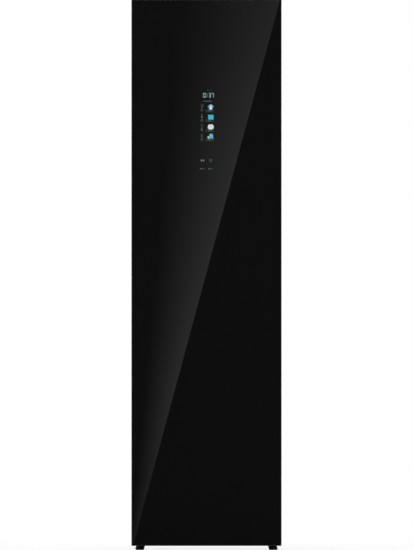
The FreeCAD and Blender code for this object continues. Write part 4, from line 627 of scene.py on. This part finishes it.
CLOTH = {
    "quality": 6,
    "mass": 0.25,
    "tension_stiffness": 12.0,
    "compression_stiffness": 12.0,
    "shear_stiffness": 4.0,
    "bending_stiffness": 0.35,
    "air_damping": 2.0,
    "use_pressure": True,
    "uniform_pressure_force": 3.0,
    "shrink_min": -0.02,  # cut a little larger than its rim
}
CLOTH_STEPS = 20


def blow_up(cover, held):
    """Runs the cloth with air behind it until it lies still."""
    cover.vertex_groups.new(name="held").add(held, 1.0, "REPLACE")
    cloth = cover.modifiers.new("cloth", "CLOTH")
    for name, value in CLOTH.items():
        setattr(cloth.settings, name, value)
    cloth.settings.vertex_group_mass = "held"
    cloth.settings.effector_weights.gravity = 0.0
    cloth.collision_settings.use_collision = False
    cloth.point_cache.frame_start, cloth.point_cache.frame_end = 1, CLOTH_STEPS
    for moment in range(1, CLOTH_STEPS + 1):
        bpy.context.scene.frame_set(moment)


def press_pad():
    """Padded cloth board: a soft crown inside a sewn line, and a closed back."""
    cover = pad_cloth()
    room = PAD_TOP - PAD_BASE
    places = [vertex.co.copy() for vertex in cover.vertices]
    for place in places:
        rise = max(place.y - PAD_BASE, 0.0)
        place.y = PAD_BASE + room * (1 - math.exp(-rise / room))
    faces = [tuple(face.vertices) for face in cover.polygons]
    wide, tall = PAD_ACROSS, PAD_UP
    row = wide + 1
    rim = list(range(wide)) + [wide + j * row for j in range(tall)]
    rim += [tall * row + wide - i for i in range(wide)] + [(tall - j) * row for j in range(tall)]
    lip, wider = PAD_LIP
    for depth, spread in ((PAD_BASE - lip, wider), (PAD_LOW.y, 0.0)):
        start = len(places)
        for number in rim:
            place = places[number].copy()
            place.x += math.copysign(spread, place.x - PAD_MIDDLE.x)
            place.y = depth
            places.append(place)
        ring = list(range(start, start + len(rim)))
        for a, b, c, d in zip(rim, ring, ring[1:] + ring[:1], rim[1:] + rim[:1]):
            faces.append((a, d, c, b))
        rim = ring
    faces.append(tuple(rim))
    mesh = mesh_of("press_pad_cover", places, faces)
    outward(mesh)
    mesh.shade_smooth()
    piece = piece_of("press_pad_cover", mesh, "door", "pad_cloth")
    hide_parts("press_pad")


def pad_outline(name, inset_x, inset_z, **sizes):
    """A pattern with the pad's outline, drawn in by an inset, as a line."""
    half = PAD_HIGH - PAD_MIDDLE
    pattern = Pattern(name, half_x=half.x - inset_x, half_z=half.z - inset_z, **sizes)
    wide, tall = pattern["half_x"] * 2, pattern["half_z"] * 2
    kind = "GeometryNodeCurvePrimitiveQuadrilateral"
    return pattern, pattern.node(kind, width=wide, height=tall)


def pad_binding():
    """Round binding sewn along the pad's rim."""
    pattern, outline = pad_outline("press_pad_binding", BINDING_INSET, BINDING_INSET,
                                   radius=PAD_ROUND, binding=BINDING)
    radius, binding = pattern["radius"], pattern["binding"]
    path = pattern.node("GeometryNodeFilletCurve", {"mode": "POLY"}, curve=outline,
                        radius=radius, count=6)
    circle = pattern.node("GeometryNodeCurvePrimitiveCircle", resolution=10, radius=binding)
    tube = pattern.node("GeometryNodeCurveToMesh", curve=path, profile_curve=circle)
    smooth = pattern.node("GeometryNodeSetShadeSmooth", geometry=tube)
    place = stood_up(PAD_MIDDLE.x, PAD_BASE - BINDING_DROP, PAD_MIDDLE.z)
    pattern.piece(smooth, "door", "pad_cloth", place, cloth_binding)


def pad_stitches():
    """Thread along the sewn line."""
    insets = (PAD_SEAM * step for step in pad_step)
    pattern, outline = pad_outline("press_pad_stitches", *insets, pitch=3.6 * MM,
                                   long=1.25 * MM, thick=0.32 * MM)
    spots = pattern.node("GeometryNodeCurveToPoints", {"mode": "LENGTH"}, curve=outline,
                         length=pattern["pitch"])
    tangent = Signal(pattern, spots.socket.node.outputs["Tangent"])
    turn = pattern.node("FunctionNodeAlignRotationToVector", {"axis": "X"}, vector=tangent)
    bead = pattern.node("GeometryNodeMeshUVSphere", segments=8, rings=5, radius=1.0)
    size = pattern.vector(pattern["long"], pattern["thick"], pattern["thick"])
    thread = pattern.at_each(spots, bead, rotation=turn, scale=size)
    place = stood_up(PAD_MIDDLE.x, PAD_BASE + THREAD_LIFT, PAD_MIDDLE.z)
    pattern.piece(thread, "door", "pad_cloth", place, cloth_thread)


cloth_binding = woven("cloth_binding", (0.10, 0.105, 0.115), pitch=0.9 * MM).material
cloth_thread = woven("cloth_thread", (0.52, 0.53, 0.55), pitch=0.35 * MM).material

press_pad()
pad_binding()
pad_stitches()


# ------------------------ door seals

SEAL = 3.85 * MM  # radius of the bulb
SEAL_ROUND = 7 * MM
SEAL_SIDE, SEAL_INSIDE = 213 * MM, 183 * MM  # beside the bay, and clear of the hinge plates
SEAL_LOW, SEAL_STEP, SEAL_HIGH = 26 * MM, 59 * MM, 1838 * MM


def eased_corners(corners, radius, steps=5):
    """A line's points in the upright plane with its inner corners rounded."""
    line = [Vector(corners[0])]
    for before, corner, after in zip(corners, corners[1:], corners[2:]):
        before, corner, after = Vector(before), Vector(corner), Vector(after)
        start = corner + (before - corner).normalized() * radius
        end = corner + (after - corner).normalized() * radius
        for step in range(steps + 1):
            t = step / steps
            line.append(start.lerp(corner, t).lerp(corner.lerp(end, t), t))
    return line + [Vector(corners[-1])]


def bulb_seal(name, corners):
    """Round rubber seal on the door's back, pressed on the case round the chamber's gasket."""
    back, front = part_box("door_gasket")
    y = (back.y + front.y) / 2
    curve = bpy.data.curves.new(name, "CURVE")
    curve.dimensions = "3D"
    curve.bevel_depth, curve.bevel_resolution, curve.use_fill_caps = SEAL, 3, True
    line = eased_corners(corners, SEAL_ROUND)
    spline = curve.splines.new("POLY")
    spline.points.add(len(line) - 1)
    for point, place in zip(spline.points, line):
        point.co = (place.x, y, place.y, 1.0)
    mesh = settled(linked(name, curve))
    outward(mesh)
    mesh.shade_smooth()
    piece_of(name, mesh, "door", "gasket_grey")


def door_seals():
    """Bulb seals from the gasket's foot round the bay, and from its top to the door's head."""
    low, high = (corner.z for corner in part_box("door_gasket"))
    side, inside = SEAL_SIDE, SEAL_INSIDE
    bulb_seal("door_foot_seal", [(-side, low), (-side, SEAL_LOW), (inside, SEAL_LOW),
                                 (inside, SEAL_STEP), (side, SEAL_STEP), (side, low)])
    bulb_seal("door_head_seal", [(-side, high), (-side, SEAL_HIGH), (inside, SEAL_HIGH),
                                 (inside, high)])


door_seals()


# ------------------------ filter, screws, level bars

WIRE, WIRE_SIDES = 0.24 * MM, 6
WIRE_PITCH = 2.0 * MM
WIRE_DEPTH = 0.9  # each layer's distance from its sheet's middle, in wires


def wires(pattern, count, across, along, depth, level):
    """A row of wires across a sheet, upright or level."""
    wire = pattern["wire"]
    long = along - 2 * wire
    rod = pattern.node("GeometryNodeMeshCylinder", vertices=WIRE_SIDES, radius=wire, depth=long)
    rod = pattern.moved(rod, turn=(0.0, math.pi / 2 if level else 0.0, 0.0))
    start, gap = wire - across / 2, (across - 2 * wire) / (count - 1)
    first, step = ((0, depth, start), (0, 0, gap)) if level else ((start, depth), (gap,))
    return pattern.at_each(pattern.row(count, first, step), rod)


def filter_cloth():
    """Two sheets of wire cloth, upright wires over level ones."""
    low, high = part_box("filter_mesh")
    size = high - low
    pattern = Pattern("filter_wire_cloth", wide=size.x, tall=size.z, apart=size.y - 4 * WIRE,
                      wire=WIRE, upright=int(size.x / WIRE_PITCH), level=int(size.z / WIRE_PITCH))
    wide, tall, apart = pattern["wide"], pattern["tall"], pattern["apart"]
    depth = pattern["wire"] * WIRE_DEPTH
    upright = wires(pattern, pattern["upright"], wide, tall, -1 * depth, False)
    level = wires(pattern, pattern["level"], tall, wide, depth, True)
    sheets = pattern.row(2, (0, apart * -0.5), (0, apart))
    both = pattern.at_each(sheets, pattern.together(upright, level))
    piece = pattern.piece(both, "filter", "mesh_steel", Matrix.Translation((low + high) / 2))
    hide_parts("filter_mesh")


SCREW_RADIUS = 4 * MM
SCREW_ROWS = 6
SCREW_SIDES = 24
SKIRT, CROWN = 0.45, 0.62  # shares: of the head's height that is straight, of its radius on top
RECESS = 0.24, 1.25  # one bar of the cross in radii: its width and length
RECESS_TALL = 1.2  # in heights of the head, half of it above the head


def panel_screws():
    """Pan-head screws with a cross recess, in two columns down the rear panel."""
    low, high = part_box("rear_screws")
    size = high - low
    pattern = Pattern("panel_screws", across=size.x - 2 * SCREW_RADIUS,
                      up=size.z - 2 * SCREW_RADIUS, rows=SCREW_ROWS, head=size.y,
                      radius=SCREW_RADIUS)
    radius, head = pattern["radius"], pattern["head"]
    skirt = pattern.node("GeometryNodeMeshCylinder", vertices=SCREW_SIDES, radius=radius,
                         depth=head * SKIRT)
    skirt = pattern.moved(skirt, 0, 0, head * (SKIRT / 2))
    crown = pattern.node("GeometryNodeMeshCone", vertices=SCREW_SIDES, side_segments=1,
                         radius_top=radius * CROWN, radius_bottom=radius,
                         depth=head * (1 - SKIRT))
    crown = pattern.moved(crown, 0, 0, head * SKIRT)
    bars = [pattern.block(radius * x, radius * y, head * RECESS_TALL)
            for x, y in (RECESS, RECESS[::-1])]
    slots = [pattern.moved(bar, 0, 0, head) for bar in bars]
    mix = "GeometryNodeMeshBoolean"
    body = pattern.several(mix, "Mesh 2", (skirt, crown), {"operation": "UNION"})
    screw = pattern.several(mix, "Mesh 2", slots, {"operation": "DIFFERENCE"}, mesh_1=body)
    grid = pattern.node("GeometryNodeMeshGrid", size_x=pattern["across"], size_y=pattern["up"],
                        vertices_x=2, vertices_y=pattern["rows"])
    every = pattern.at_each(grid, screw)
    middle = (low + high) / 2
    place = Matrix.Translation((middle.x, low.y, middle.z)) @ Matrix.Rotation(-math.pi / 2, 4, "X")
    piece = pattern.piece(every, "cabinet", "screw_steel", place)
    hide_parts("rear_screws")


LEVEL_INSET, LEVEL_FOOT = 26 * MM, 30 * MM  # the lowest bar from the tank's side and foot
LEVEL_LONG = 1.8  # the last bar's length in lengths of the others


def level_bars(name, tank, body):
    """Raised bars up a tank's front that show how full it is, the last one longer."""
    low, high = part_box(tank)
    pattern = Pattern(name, wide=12 * MM, tall=1.5 * MM, proud=0.35 * MM, step=21 * MM, bars=5)
    wide, tall, deep = pattern["wide"], pattern["tall"], pattern["proud"] * 2
    short, long = (pattern.block(wide * reach, deep, tall) for reach in (1.0, LEVEL_LONG))
    bars, step = pattern["bars"], pattern["step"]
    row = pattern.at_each(pattern.row(bars, (), (0, 0, step)), short)
    last = pattern.moved(long, wide * ((1 - LEVEL_LONG) / 2), 0, step * bars)
    place = Matrix.Translation((high.x - LEVEL_INSET, low.y, low.z + LEVEL_FOOT))
    pattern.piece(pattern.together(row, last), body, "press_white", place)


filter_cloth()
panel_screws()
level_bars("supply_level_bars", "supply_tank", "supply")
level_bars("drain_level_bars", "drain_tank", "drain")


# ------------------------ display

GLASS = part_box("door_glass")[0].y
MARK_BACK = GLASS + 0.01 * MM
MARK_FRONT = GLASS - 0.10 * MM
MARK_LAYER = 0.03 * MM
DISC_SIDES, ARC_SIDES = 16, 18

LIGHTS = {
    # name: colour, strength
    "digit": ((0.56, 0.92, 0.94), 0.82),
    "key": ((0.46, 0.86, 0.87), 0.33),
    "dim": ((0.16, 0.36, 0.40), 0.42),
    "olive": ((0.30, 0.28, 0.08), 0.42),
    "blue": ((0.07, 0.30, 0.62), 1.0),
    "navy": ((0.03, 0.14, 0.34), 0.9),
    "cyan": ((0.04, 0.56, 0.76), 1.0),
    "sky": ((0.11, 0.50, 0.68), 1.0),
    "white": ((0.66, 0.74, 0.78), 1.0),
    "lilac": ((0.60, 0.55, 0.74), 1.0),
}
LIT = {name: lit(f"lit_{name}", *light).material for name, light in LIGHTS.items()}


def turns_of(sides):
    return [2 * math.pi * i / sides for i in range(sides)]


def on_circle(x, z, radius, turns):
    return [(x + radius * math.cos(a), z + radius * math.sin(a)) for a in turns]


class Marks:
    """Flat lit marks on the glass, drawn in millimetres across and up."""

    def __init__(self):
        self.mesh = bmesh.new()
        self.lights = []

    def shape(self, light, corners, layer=0):
        """One outline, given anticlockwise as seen from the front, on its own layer."""
        if light not in self.lights:
            self.lights.append(light)
        y = MARK_FRONT - layer * MARK_LAYER
        front = [self.mesh.verts.new((x * MM, y, z * MM)) for x, z in corners]
        back = [self.mesh.verts.new((x * MM, MARK_BACK, z * MM)) for x, z in corners]
        number = self.lights.index(light)
        count = len(corners)
        faces = [self.mesh.faces.new(front), self.mesh.faces.new(back[::-1])]
        for i in range(count):
            j = (i + 1) % count
            faces.append(self.mesh.faces.new((front[i], back[i], back[j], front[j])))
        for face in faces:
            face.material_index = number

    def bar(self, light, left, low, wide, tall):
        self.drawn(light, left, low, wide, tall, [(0, 0), (2, 0), (2, 1), (0, 1)])

    def disc(self, light, x, z, radius):
        self.shape(light, on_circle(x, z, radius, turns_of(DISC_SIDES)))

    def arc(self, light, x, z, radius, width, start, end):
        """A bent bar between two angles in degrees."""
        step = (end - start) / ARC_SIDES
        turns = [math.radians(start + step * i) for i in range(ARC_SIDES + 1)]
        inside = on_circle(x, z, radius - width, reversed(turns))
        self.shape(light, on_circle(x, z, radius, turns) + inside)

    def drawn(self, light, x, z, wide, tall, corners, layer=0):
        """An outline in halves of a width and shares of a height, set on its foot."""
        self.shape(light, [(x + wide / 2 * u, z + tall * v) for u, v in corners], layer)

    def signs(self, light, x, z, rows):
        """Rows of a kind of mark, its offsets across and up from a place, and its numbers."""
        for kind, across, up, *numbers in rows:
            getattr(self, kind)(light, x + across, z + up, *numbers)

    def done(self, name):
        bmesh.ops.recalc_face_normals(self.mesh, faces=self.mesh.faces)
        mesh = bpy.data.meshes.new(name)
        self.mesh.to_mesh(mesh)
        self.mesh.free()
        materials = [LIT[light] for light in self.lights]
        piece_of(name, mesh, "door", "display_light", *materials)


# The seven bars of a digit: their middles in halves of its box, and if they stand upright.
DIGIT_BARS = (
    (0, 1, False), (0, 0, False), (0, -1, False),
    (-1, 0.5, True), (1, 0.5, True), (-1, -0.5, True), (1, -0.5, True),
)
DIGITS = {"0": (0, 2, 3, 4, 5, 6), "3": (0, 1, 2, 4, 6), "7": (0, 4, 6)}
BAR_GAP = 0.25


def digit(marks, figure, x, z, wide, tall, thick):
    """A seven-bar digit round its middle."""
    half, high, t = (wide - thick) / 2, (tall - thick) / 2, thick / 2
    for number in DIGITS[figure]:
        across, up, upright = DIGIT_BARS[number]
        reach = (high / 2 if upright else half) - BAR_GAP
        outline = [(-reach, 0), (t - reach, -t), (reach - t, -t)]
        outline += [(-a, -b) for a, b in outline]
        if upright:
            outline = [(-b, a) for a, b in outline]
        cx, cz = x + across * half, z + up * high
        marks.shape("digit", [(cx + a, cz + b) for a, b in outline])


CLOCK_Z = 1527.9
DIGIT_TALL, DIGIT_THICK = 15.2, 1.4
CLOCK = (("0", -6.75, 8.7), ("3", 10.6, 7.2), ("7", 20.1, 8.2))  # each digit's middle and width
COLON = [("disc", 2.8, -3.2, 1.1), ("disc", 2.8, 3.2, 1.1)]
CLOCK_SIGNS = [
    ("arc", 5.2, 17.4, 2.2, 0.8, 40, 320), ("bar", 14.6, 16.6, 2.2, 2.0),
    ("bar", -14.8, -20.2, 6.2, 0.9), ("bar", -7.4, -20.8, 24.6, 2.0),
]


def display_clock():
    """Remaining time, its two signs above and the line under it."""
    marks = Marks()
    for figure, middle, wide in CLOCK:
        digit(marks, figure, middle, CLOCK_Z, wide, DIGIT_TALL, DIGIT_THICK)
    marks.signs("digit", 0, CLOCK_Z, COLON)
    marks.signs("dim", 0, CLOCK_Z, CLOCK_SIGNS)
    marks.done("display_clock")


SIGN_X, SIGN_WIDE = 14.0, 21.0
SIGN_FEET = (1479.6, 1447.0, 1413.4, 1382.4)  # of the four pictures, from the top
SIGN_TALL = (18.2, 16.0, 17.8, 16.6)


def mirrored(right):
    """An outline from its right half, which starts at the foot. The left foot comes first."""
    left = [(-u, v) for u, v in reversed(right) if u]
    foot = [corner for corner in left if not corner[1]]
    return foot + right + left[:len(left) - len(foot)]


# Outlines in halves of the width and shares of the height.
SHIRT = mirrored([
    (0.60, 0), (0.60, 0.58), (0.82, 0.44), (1.0, 0.66), (0.50, 0.96), (0.22, 1.0), (0.08, 0.90),
])
COAT = mirrored([
    (0, 0.06), (0.04, 0), (0.62, 0), (0.56, 0.52), (0.66, 0.16), (0.92, 0.22), (0.80, 0.74),
    (0.56, 0.92), (0.20, 1.0), (0, 0.84),
])
LAPEL = mirrored([(0, 0.30), (0.26, 0.84), (0.20, 1.0), (0, 0.80)])
TROUSERS = mirrored([(0, 0.60), (0.16, 0), (0.66, 0), (0.56, 0.88), (0.50, 1.0)])
BELT = [(-0.56, 0.87), (0.56, 0.87), (0.53, 0.95), (-0.53, 0.95)]
TOWEL = [
    (-0.92, 0.01), (-0.86, 0), (0.84, 0), (0.97, 0.04), (1.0, 0.11), (0.97, 0.18), (0.84, 0.22),
    (-0.86, 0.22), (-0.92, 0.21), (-0.80, 0.17), (-0.80, 0.05),
]
FOLD = [(-0.7, 0.095), (0.86, 0.095), (0.86, 0.125), (-0.7, 0.125)]
POCKET = [(-1, 0), (1, 0), (1, 1), (-1, 1)]
TOWEL_STEP = SIGN_TALL[1] * 0.245
TOWELS = [(0.5 * (-1) ** layer, layer * TOWEL_STEP) for layer in range(4)]

# Each picture's outlines: light, place across and up, shares of the picture's width and
# height, outline, and the layer it lies on.
PICTURES = (
    [("blue", 0, 0, 1.0, 0.90, SHIRT, 0), ("white", 0.6, 0.5, 0.44, 0.97, COAT, 1),
     ("navy", 0.6, 0.5, 0.44, 0.97, LAPEL, 2)],
    [(light, *place, 0.93, 1.0, outline, layer) for place in TOWELS
     for light, outline, layer in (("cyan", TOWEL, 0), ("navy", FOLD, 1))],
    [("white", 0.3, 0, 1.06, 1.0, COAT, 0), ("lilac", 0.3, 0, 1.06, 1.0, LAPEL, 1),
     ("lilac", 5.0, 4.5, 4.4 / SIGN_WIDE, 1.2 / SIGN_TALL[2], POCKET, 1)],
    [("sky", 1.8, 0, 0.95, 1.0, TROUSERS, 0), ("navy", 1.8, 0, 0.95, 1.0, BELT, 1),
     ("white", -8.0, 0, 0.28, 0.5, TROUSERS, 0)],
)


def display_signs():
    """Four pictures of things to care for: shirts, folded towels, coat and trousers."""
    marks = Marks()
    for low, tall, picture in zip(SIGN_FEET, SIGN_TALL, PICTURES):
        for light, across, up, wide_share, tall_share, outline, layer in picture:
            marks.drawn(light, SIGN_X + across, low + up, SIGN_WIDE * wide_share,
                        tall * tall_share, outline, layer)
    marks.done("display_signs")


LABEL_X, LABEL_DROP = 10.7, 3.9  # a label's middle, and how far it lies under its picture
LABEL_WIDE, LABEL_TALL, LABEL_LINE = 28.0, 6.6, 0.75
LABEL_BARS = [("bar", -5.5, -0.9, 8.5, 1.8), ("bar", 4.4, -0.9, 1.6, 1.8)]


def display_labels():
    """A plain rounded tag under each picture, with a bar where its name would be."""
    marks = Marks()
    half, high, line = LABEL_WIDE / 2, LABEL_TALL / 2, LABEL_LINE
    for low in SIGN_FEET:
        z = low - LABEL_DROP
        for side in (-1, 1):
            edge = z + high * side - line * (side > 0)
            marks.bar("olive", LABEL_X - half + high, edge, 2 * (half - high), line)
            end, turn = LABEL_X + (half - high) * side, -90 * side
            marks.arc("olive", end, z, high, line, turn, turn + 180)
        marks.signs("dim", LABEL_X, z, LABEL_BARS)
    marks.done("display_labels")


OPTION_X = -15.6
OPTION_RISE = 6.6  # a picture's foot to the middle of its option signs
DIAMOND = [(0, 0), (1, 0.5), (0, 1), (-1, 0.5)]
PEAK = mirrored([(0, 0.72), (0.6, 0), (1, 0), (0, 1)])
OPTIONS = (
    [("arc", 0, 7.4, 4.4, 1.0, 210, 510), ("bar", -0.6, -2.4, 1.2, 4.6),
     ("arc", 0, -7.4, 4.2, 1.0, 60, 390)],
    [("bar", -0.9, 6.4, 1.8, 5.2), ("drawn", 0, -2.4, 6.8, 7.0, DIAMOND),
     ("arc", 0, -11.0, 4.8, 1.1, 10, 170), ("bar", -4.8, -12.2, 9.6, 1.0)],
    [("drawn", 0, 7.2, 8.4, 4.4, PEAK), ("bar", -0.6, -1.8, 1.2, 6.4),
     ("bar", -3.6, -4.2, 7.2, 1.2), ("drawn", 0, -11.8, 7.6, 5.6, DIAMOND)],
    [("drawn", 0, 7.0, 5.6, 3.6, PEAK), ("bar", -4.2, 2.0, 8.4, 1.4),
     ("bar", -0.6, -5.6, 1.2, 6.8), ("arc", 0, -10.4, 4.4, 1.1, 20, 160),
     ("bar", -4.4, -11.8, 8.8, 1.0)],
)


def display_options():
    """Dim signs beside the pictures: rings, drops, peaks and shelves."""
    marks = Marks()
    for low, signs in zip(SIGN_FEET, OPTIONS):
        marks.signs("dim", OPTION_X, low + OPTION_RISE, signs)
    marks.done("display_options")


TOUCH_Z, TOUCH_LABEL_Z = 1309.2, 1281.2
TOUCH_X = (-13.4, 13.9)
RUN = [(-5.0, -4.2), (0.2, 0.0), (-5.0, 4.2)]
RUN_BARS = [("bar", 1.8, -4.0, 1.1, 8.0), ("bar", 4.2, -4.0, 1.1, 8.0)]
POWER = [("arc", 0, 0, 4.8, 1.1, 125, 415), ("bar", -0.6, 1.2, 1.2, 4.6)]
DASH_REACH = (8.2, 7.4)
DASHES = (("key", -1.0, 0.65), ("dim", -0.2, 0.55), ("dim", 0.5, 0.5))  # start, width in reaches
DASH_TALL = 1.6


def touch_marks():
    """Two touch keys, run and power, with a plain dash under each."""
    marks = Marks()
    left, right = TOUCH_X
    marks.shape("key", [(left + a, TOUCH_Z + b) for a, b in RUN])
    marks.signs("key", left, TOUCH_Z, RUN_BARS)
    marks.signs("dim", right, TOUCH_Z, POWER)
    for middle, reach in zip(TOUCH_X, DASH_REACH):
        for light, start, wide in DASHES:
            foot = TOUCH_LABEL_Z - DASH_TALL / 2
            marks.bar(light, middle + reach * start, foot, reach * wide, DASH_TALL)
    marks.done("touch_marks")


display_clock()
display_signs()
display_labels()
display_options()
touch_marks()


# ------------------------ stage

WHITE, BLACK = (1.0, 1.0, 1.0, 1.0), (0.0, 0.0, 0.0, 1.0)
EYE_HIGH = 0.9246
EYE_FAR = 60.0
VIEW_HIGH = 1.8468  # what the frame's height shows at the glass
SENSOR = 36.0
CARD_GAP = 0.6  # glass to the reflected card


def sheet_of(name, corners, material):
    """A flat stage piece."""
    piece = linked(name, mesh_of(name, corners, [tuple(range(len(corners)))]))
    dress(piece, material)
    return piece


FLOOR_REACH, FLOOR_SIDES = 4.0, 48
FLOOR_FADE = (0.3, 0.95)  # shares of the reach between which it turns white
FLOOR_TONE = 0.80
FLOOR_WHITE = 0.86  # share of plain white that the camera sees close to the cabinet
FLOOR_DARK = (-1.15, -0.36)  # in front of the door, where the floor's reflection fades out


def floor():
    """Pale floor that keeps a soft shadow, fades to white at its rim and to dark in gloss."""
    look = Look("pale_floor")
    where = look.node("ShaderNodeTexCoord", output="Object")
    length = look.node("ShaderNodeVectorMath", {"operation": "LENGTH"}, {0: where}, "Value")
    fade = length.eased(*(FLOOR_REACH * share for share in FLOOR_FADE))
    seen, glossy = look.rays("Camera", "Glossy")
    tone = (FLOOR_TONE, FLOOR_TONE, FLOOR_TONE, 1.0)
    matt = look.node("ShaderNodeBsdfDiffuse", color=tone)
    share = seen * (FLOOR_WHITE + fade * (1 - FLOOR_WHITE))
    plain = look.mixed(share, matt, look.shining(WHITE))
    shown = 1 - glossy * (1 - look.parts_of(where)[1].eased(*FLOOR_DARK))
    look.surface(look.mixed(shown, look.shining(BLACK), plain))
    rim = on_circle(0.0, 0.0, FLOOR_REACH, turns_of(FLOOR_SIDES))
    sheet_of("floor", [(x, y, 0.0) for x, y in rim], look.material)


EDGE_LOW, EDGE_HIGH = (-0.2473, 0.016), (0.2473, 1.850)  # the bright edge on the glass
DARK_LOW, DARK_HIGH = (-0.2440, 0.168), (-0.0959, 1.850)  # where the light has faded out
EDGE_LIGHT, EDGE_EASE, EDGE_LEAST = 0.45, 1.25, 0.004  # the last is the wedge's least width
FOOT_LIGHT, FOOT_FADE = 0.45, (0.1, 0.6)  # share of the light left at the glass's foot
HEAD_LIGHT, HEAD_FADE = 0.65, (1.2, 1.9)  # and at its head
CARD_FADE = (1.9, 2.25)  # above the glass
CARD_SIDE, CARD_LOW, CARD_HIGH = 0.5, -0.3, 2.3
HIDDEN_FROM = ("camera", "diffuse", "transmission", "volume_scatter", "shadow")


def reflected_card():
    """Card in front of the door that only reflections see: a lit wedge with one sharp edge."""
    look = Look("reflected_card")
    x, _, z = look.parts_of(look.node("ShaderNodeTexCoord", output="Object"))
    grow = (EYE_FAR + CARD_GAP) / EYE_FAR
    across = x / grow
    up = (z - EYE_HIGH) / grow + EYE_HIGH

    def line(low, high):
        """Where a line between two points of the glass lies at this height."""
        slope = (high[0] - low[0]) / (high[1] - low[1])
        return low[0] + (up - low[1]) * slope

    edge, dark = line(EDGE_LOW, EDGE_HIGH), line(DARK_LOW, DARK_HIGH)
    share = (across - dark) / (edge - dark).highest(EDGE_LEAST)
    light = share.held() ** EDGE_EASE * (1 - share.above(1.0))
    light = light * (FOOT_LIGHT + up.eased(*FOOT_FADE) * (1 - FOOT_LIGHT))
    light = light * (1 - up.eased(*HEAD_FADE) * (1 - HEAD_LIGHT))
    shine = look.shining(light * (1 - up.eased(*CARD_FADE)) * EDGE_LIGHT)
    clear = look.node("ShaderNodeBsdfTransparent")
    look.surface(look.node("ShaderNodeAddShader", None, {0: shine, 1: clear}))
    y, side = GLASS - CARD_GAP, CARD_SIDE
    corners = [(-side, y, CARD_LOW), (side, y, CARD_LOW), (side, y, CARD_HIGH),
               (-side, y, CARD_HIGH)]
    card = sheet_of("reflected_card", corners, look.material)
    for ray in HIDDEN_FROM:
        setattr(card, f"visible_{ray}", False)


WORLD_LEVEL = 0.55
SKY_SIDE, SKY_SIDE_LIGHT = (-0.35, 0.1), 0.28  # from the sides to the back
SKY_HEAD, SKY_HEAD_LIGHT = (-0.1, 0.7), 0.72  # from the horizon up
SKY_FRONT = (-0.97, 0.0)  # dark straight in front


def studio_world():
    """White backdrop for the camera, plain light for surfaces, a soft sky for gloss."""
    world = bpy.data.worlds.new("studio")
    bpy.context.scene.world = world
    world.use_nodes = True
    look = Nodes(world.node_tree)
    look.tree.nodes.clear()
    camera, glossy, through = look.rays("Camera", "Glossy", "Transmission")
    _, y, z = look.parts_of(look.node("ShaderNodeTexCoord", output="Generated"))
    sky = y.eased(*SKY_SIDE) * SKY_SIDE_LIGHT + z.eased(*SKY_HEAD) * SKY_HEAD_LIGHT
    sky = sky * y.eased(*SKY_FRONT)
    seen = camera.highest(through)
    strength = seen + (1 - seen) * (glossy * sky + (1 - glossy) * WORLD_LEVEL)
    shine = look.node("ShaderNodeBackground", color=WHITE, strength=strength)
    look.node("ShaderNodeOutputWorld", output=None, surface=shine)


LAMPS = {
    # name: where, side of the square, watts
    "key": ((-2.8, -3.4, 3.4), 2.2, 105.0),
    "fill": ((3.4, -2.6, 2.0), 2.2, 45.0),
    "back": ((1.0, 3.8, 2.8), 2.2, 80.0),
    "top": ((0.0, -0.4, 4.6), 2.6, 60.0),
}
AIM = Vector((0.0, 0.0, 0.9))


def lamps():
    """Soft square lamps round the cabinet."""
    for name, (where, side, watts) in LAMPS.items():
        data = bpy.data.lights.new(name, "AREA")
        data.shape, data.size, data.energy = "SQUARE", side, watts
        lamp = linked(name, data)
        lamp.location = where
        lamp.rotation_mode = "QUATERNION"
        lamp.rotation_quaternion = (AIM - Vector(where)).to_track_quat("-Z", "Y")
        lamp.visible_glossy = name in ("key", "back")


def camera():
    """Long lens, straight on, so that the front fills the frame's height."""
    data = bpy.data.cameras.new("camera")
    data.sensor_fit, data.sensor_width = "AUTO", SENSOR
    data.lens = SENSOR * EYE_FAR / VIEW_HIGH
    data.clip_start, data.clip_end = 1.0, 160.0
    eye = linked("camera", data)
    eye.location = (0.0, GLASS - EYE_FAR, EYE_HIGH)
    eye.rotation_euler = (math.pi / 2, 0.0, 0.0)
    bpy.context.scene.camera = eye


floor()
reflected_card()
studio_world()
lamps()
camera()
bpy.context.scene.view_settings.view_transform = "Standard"
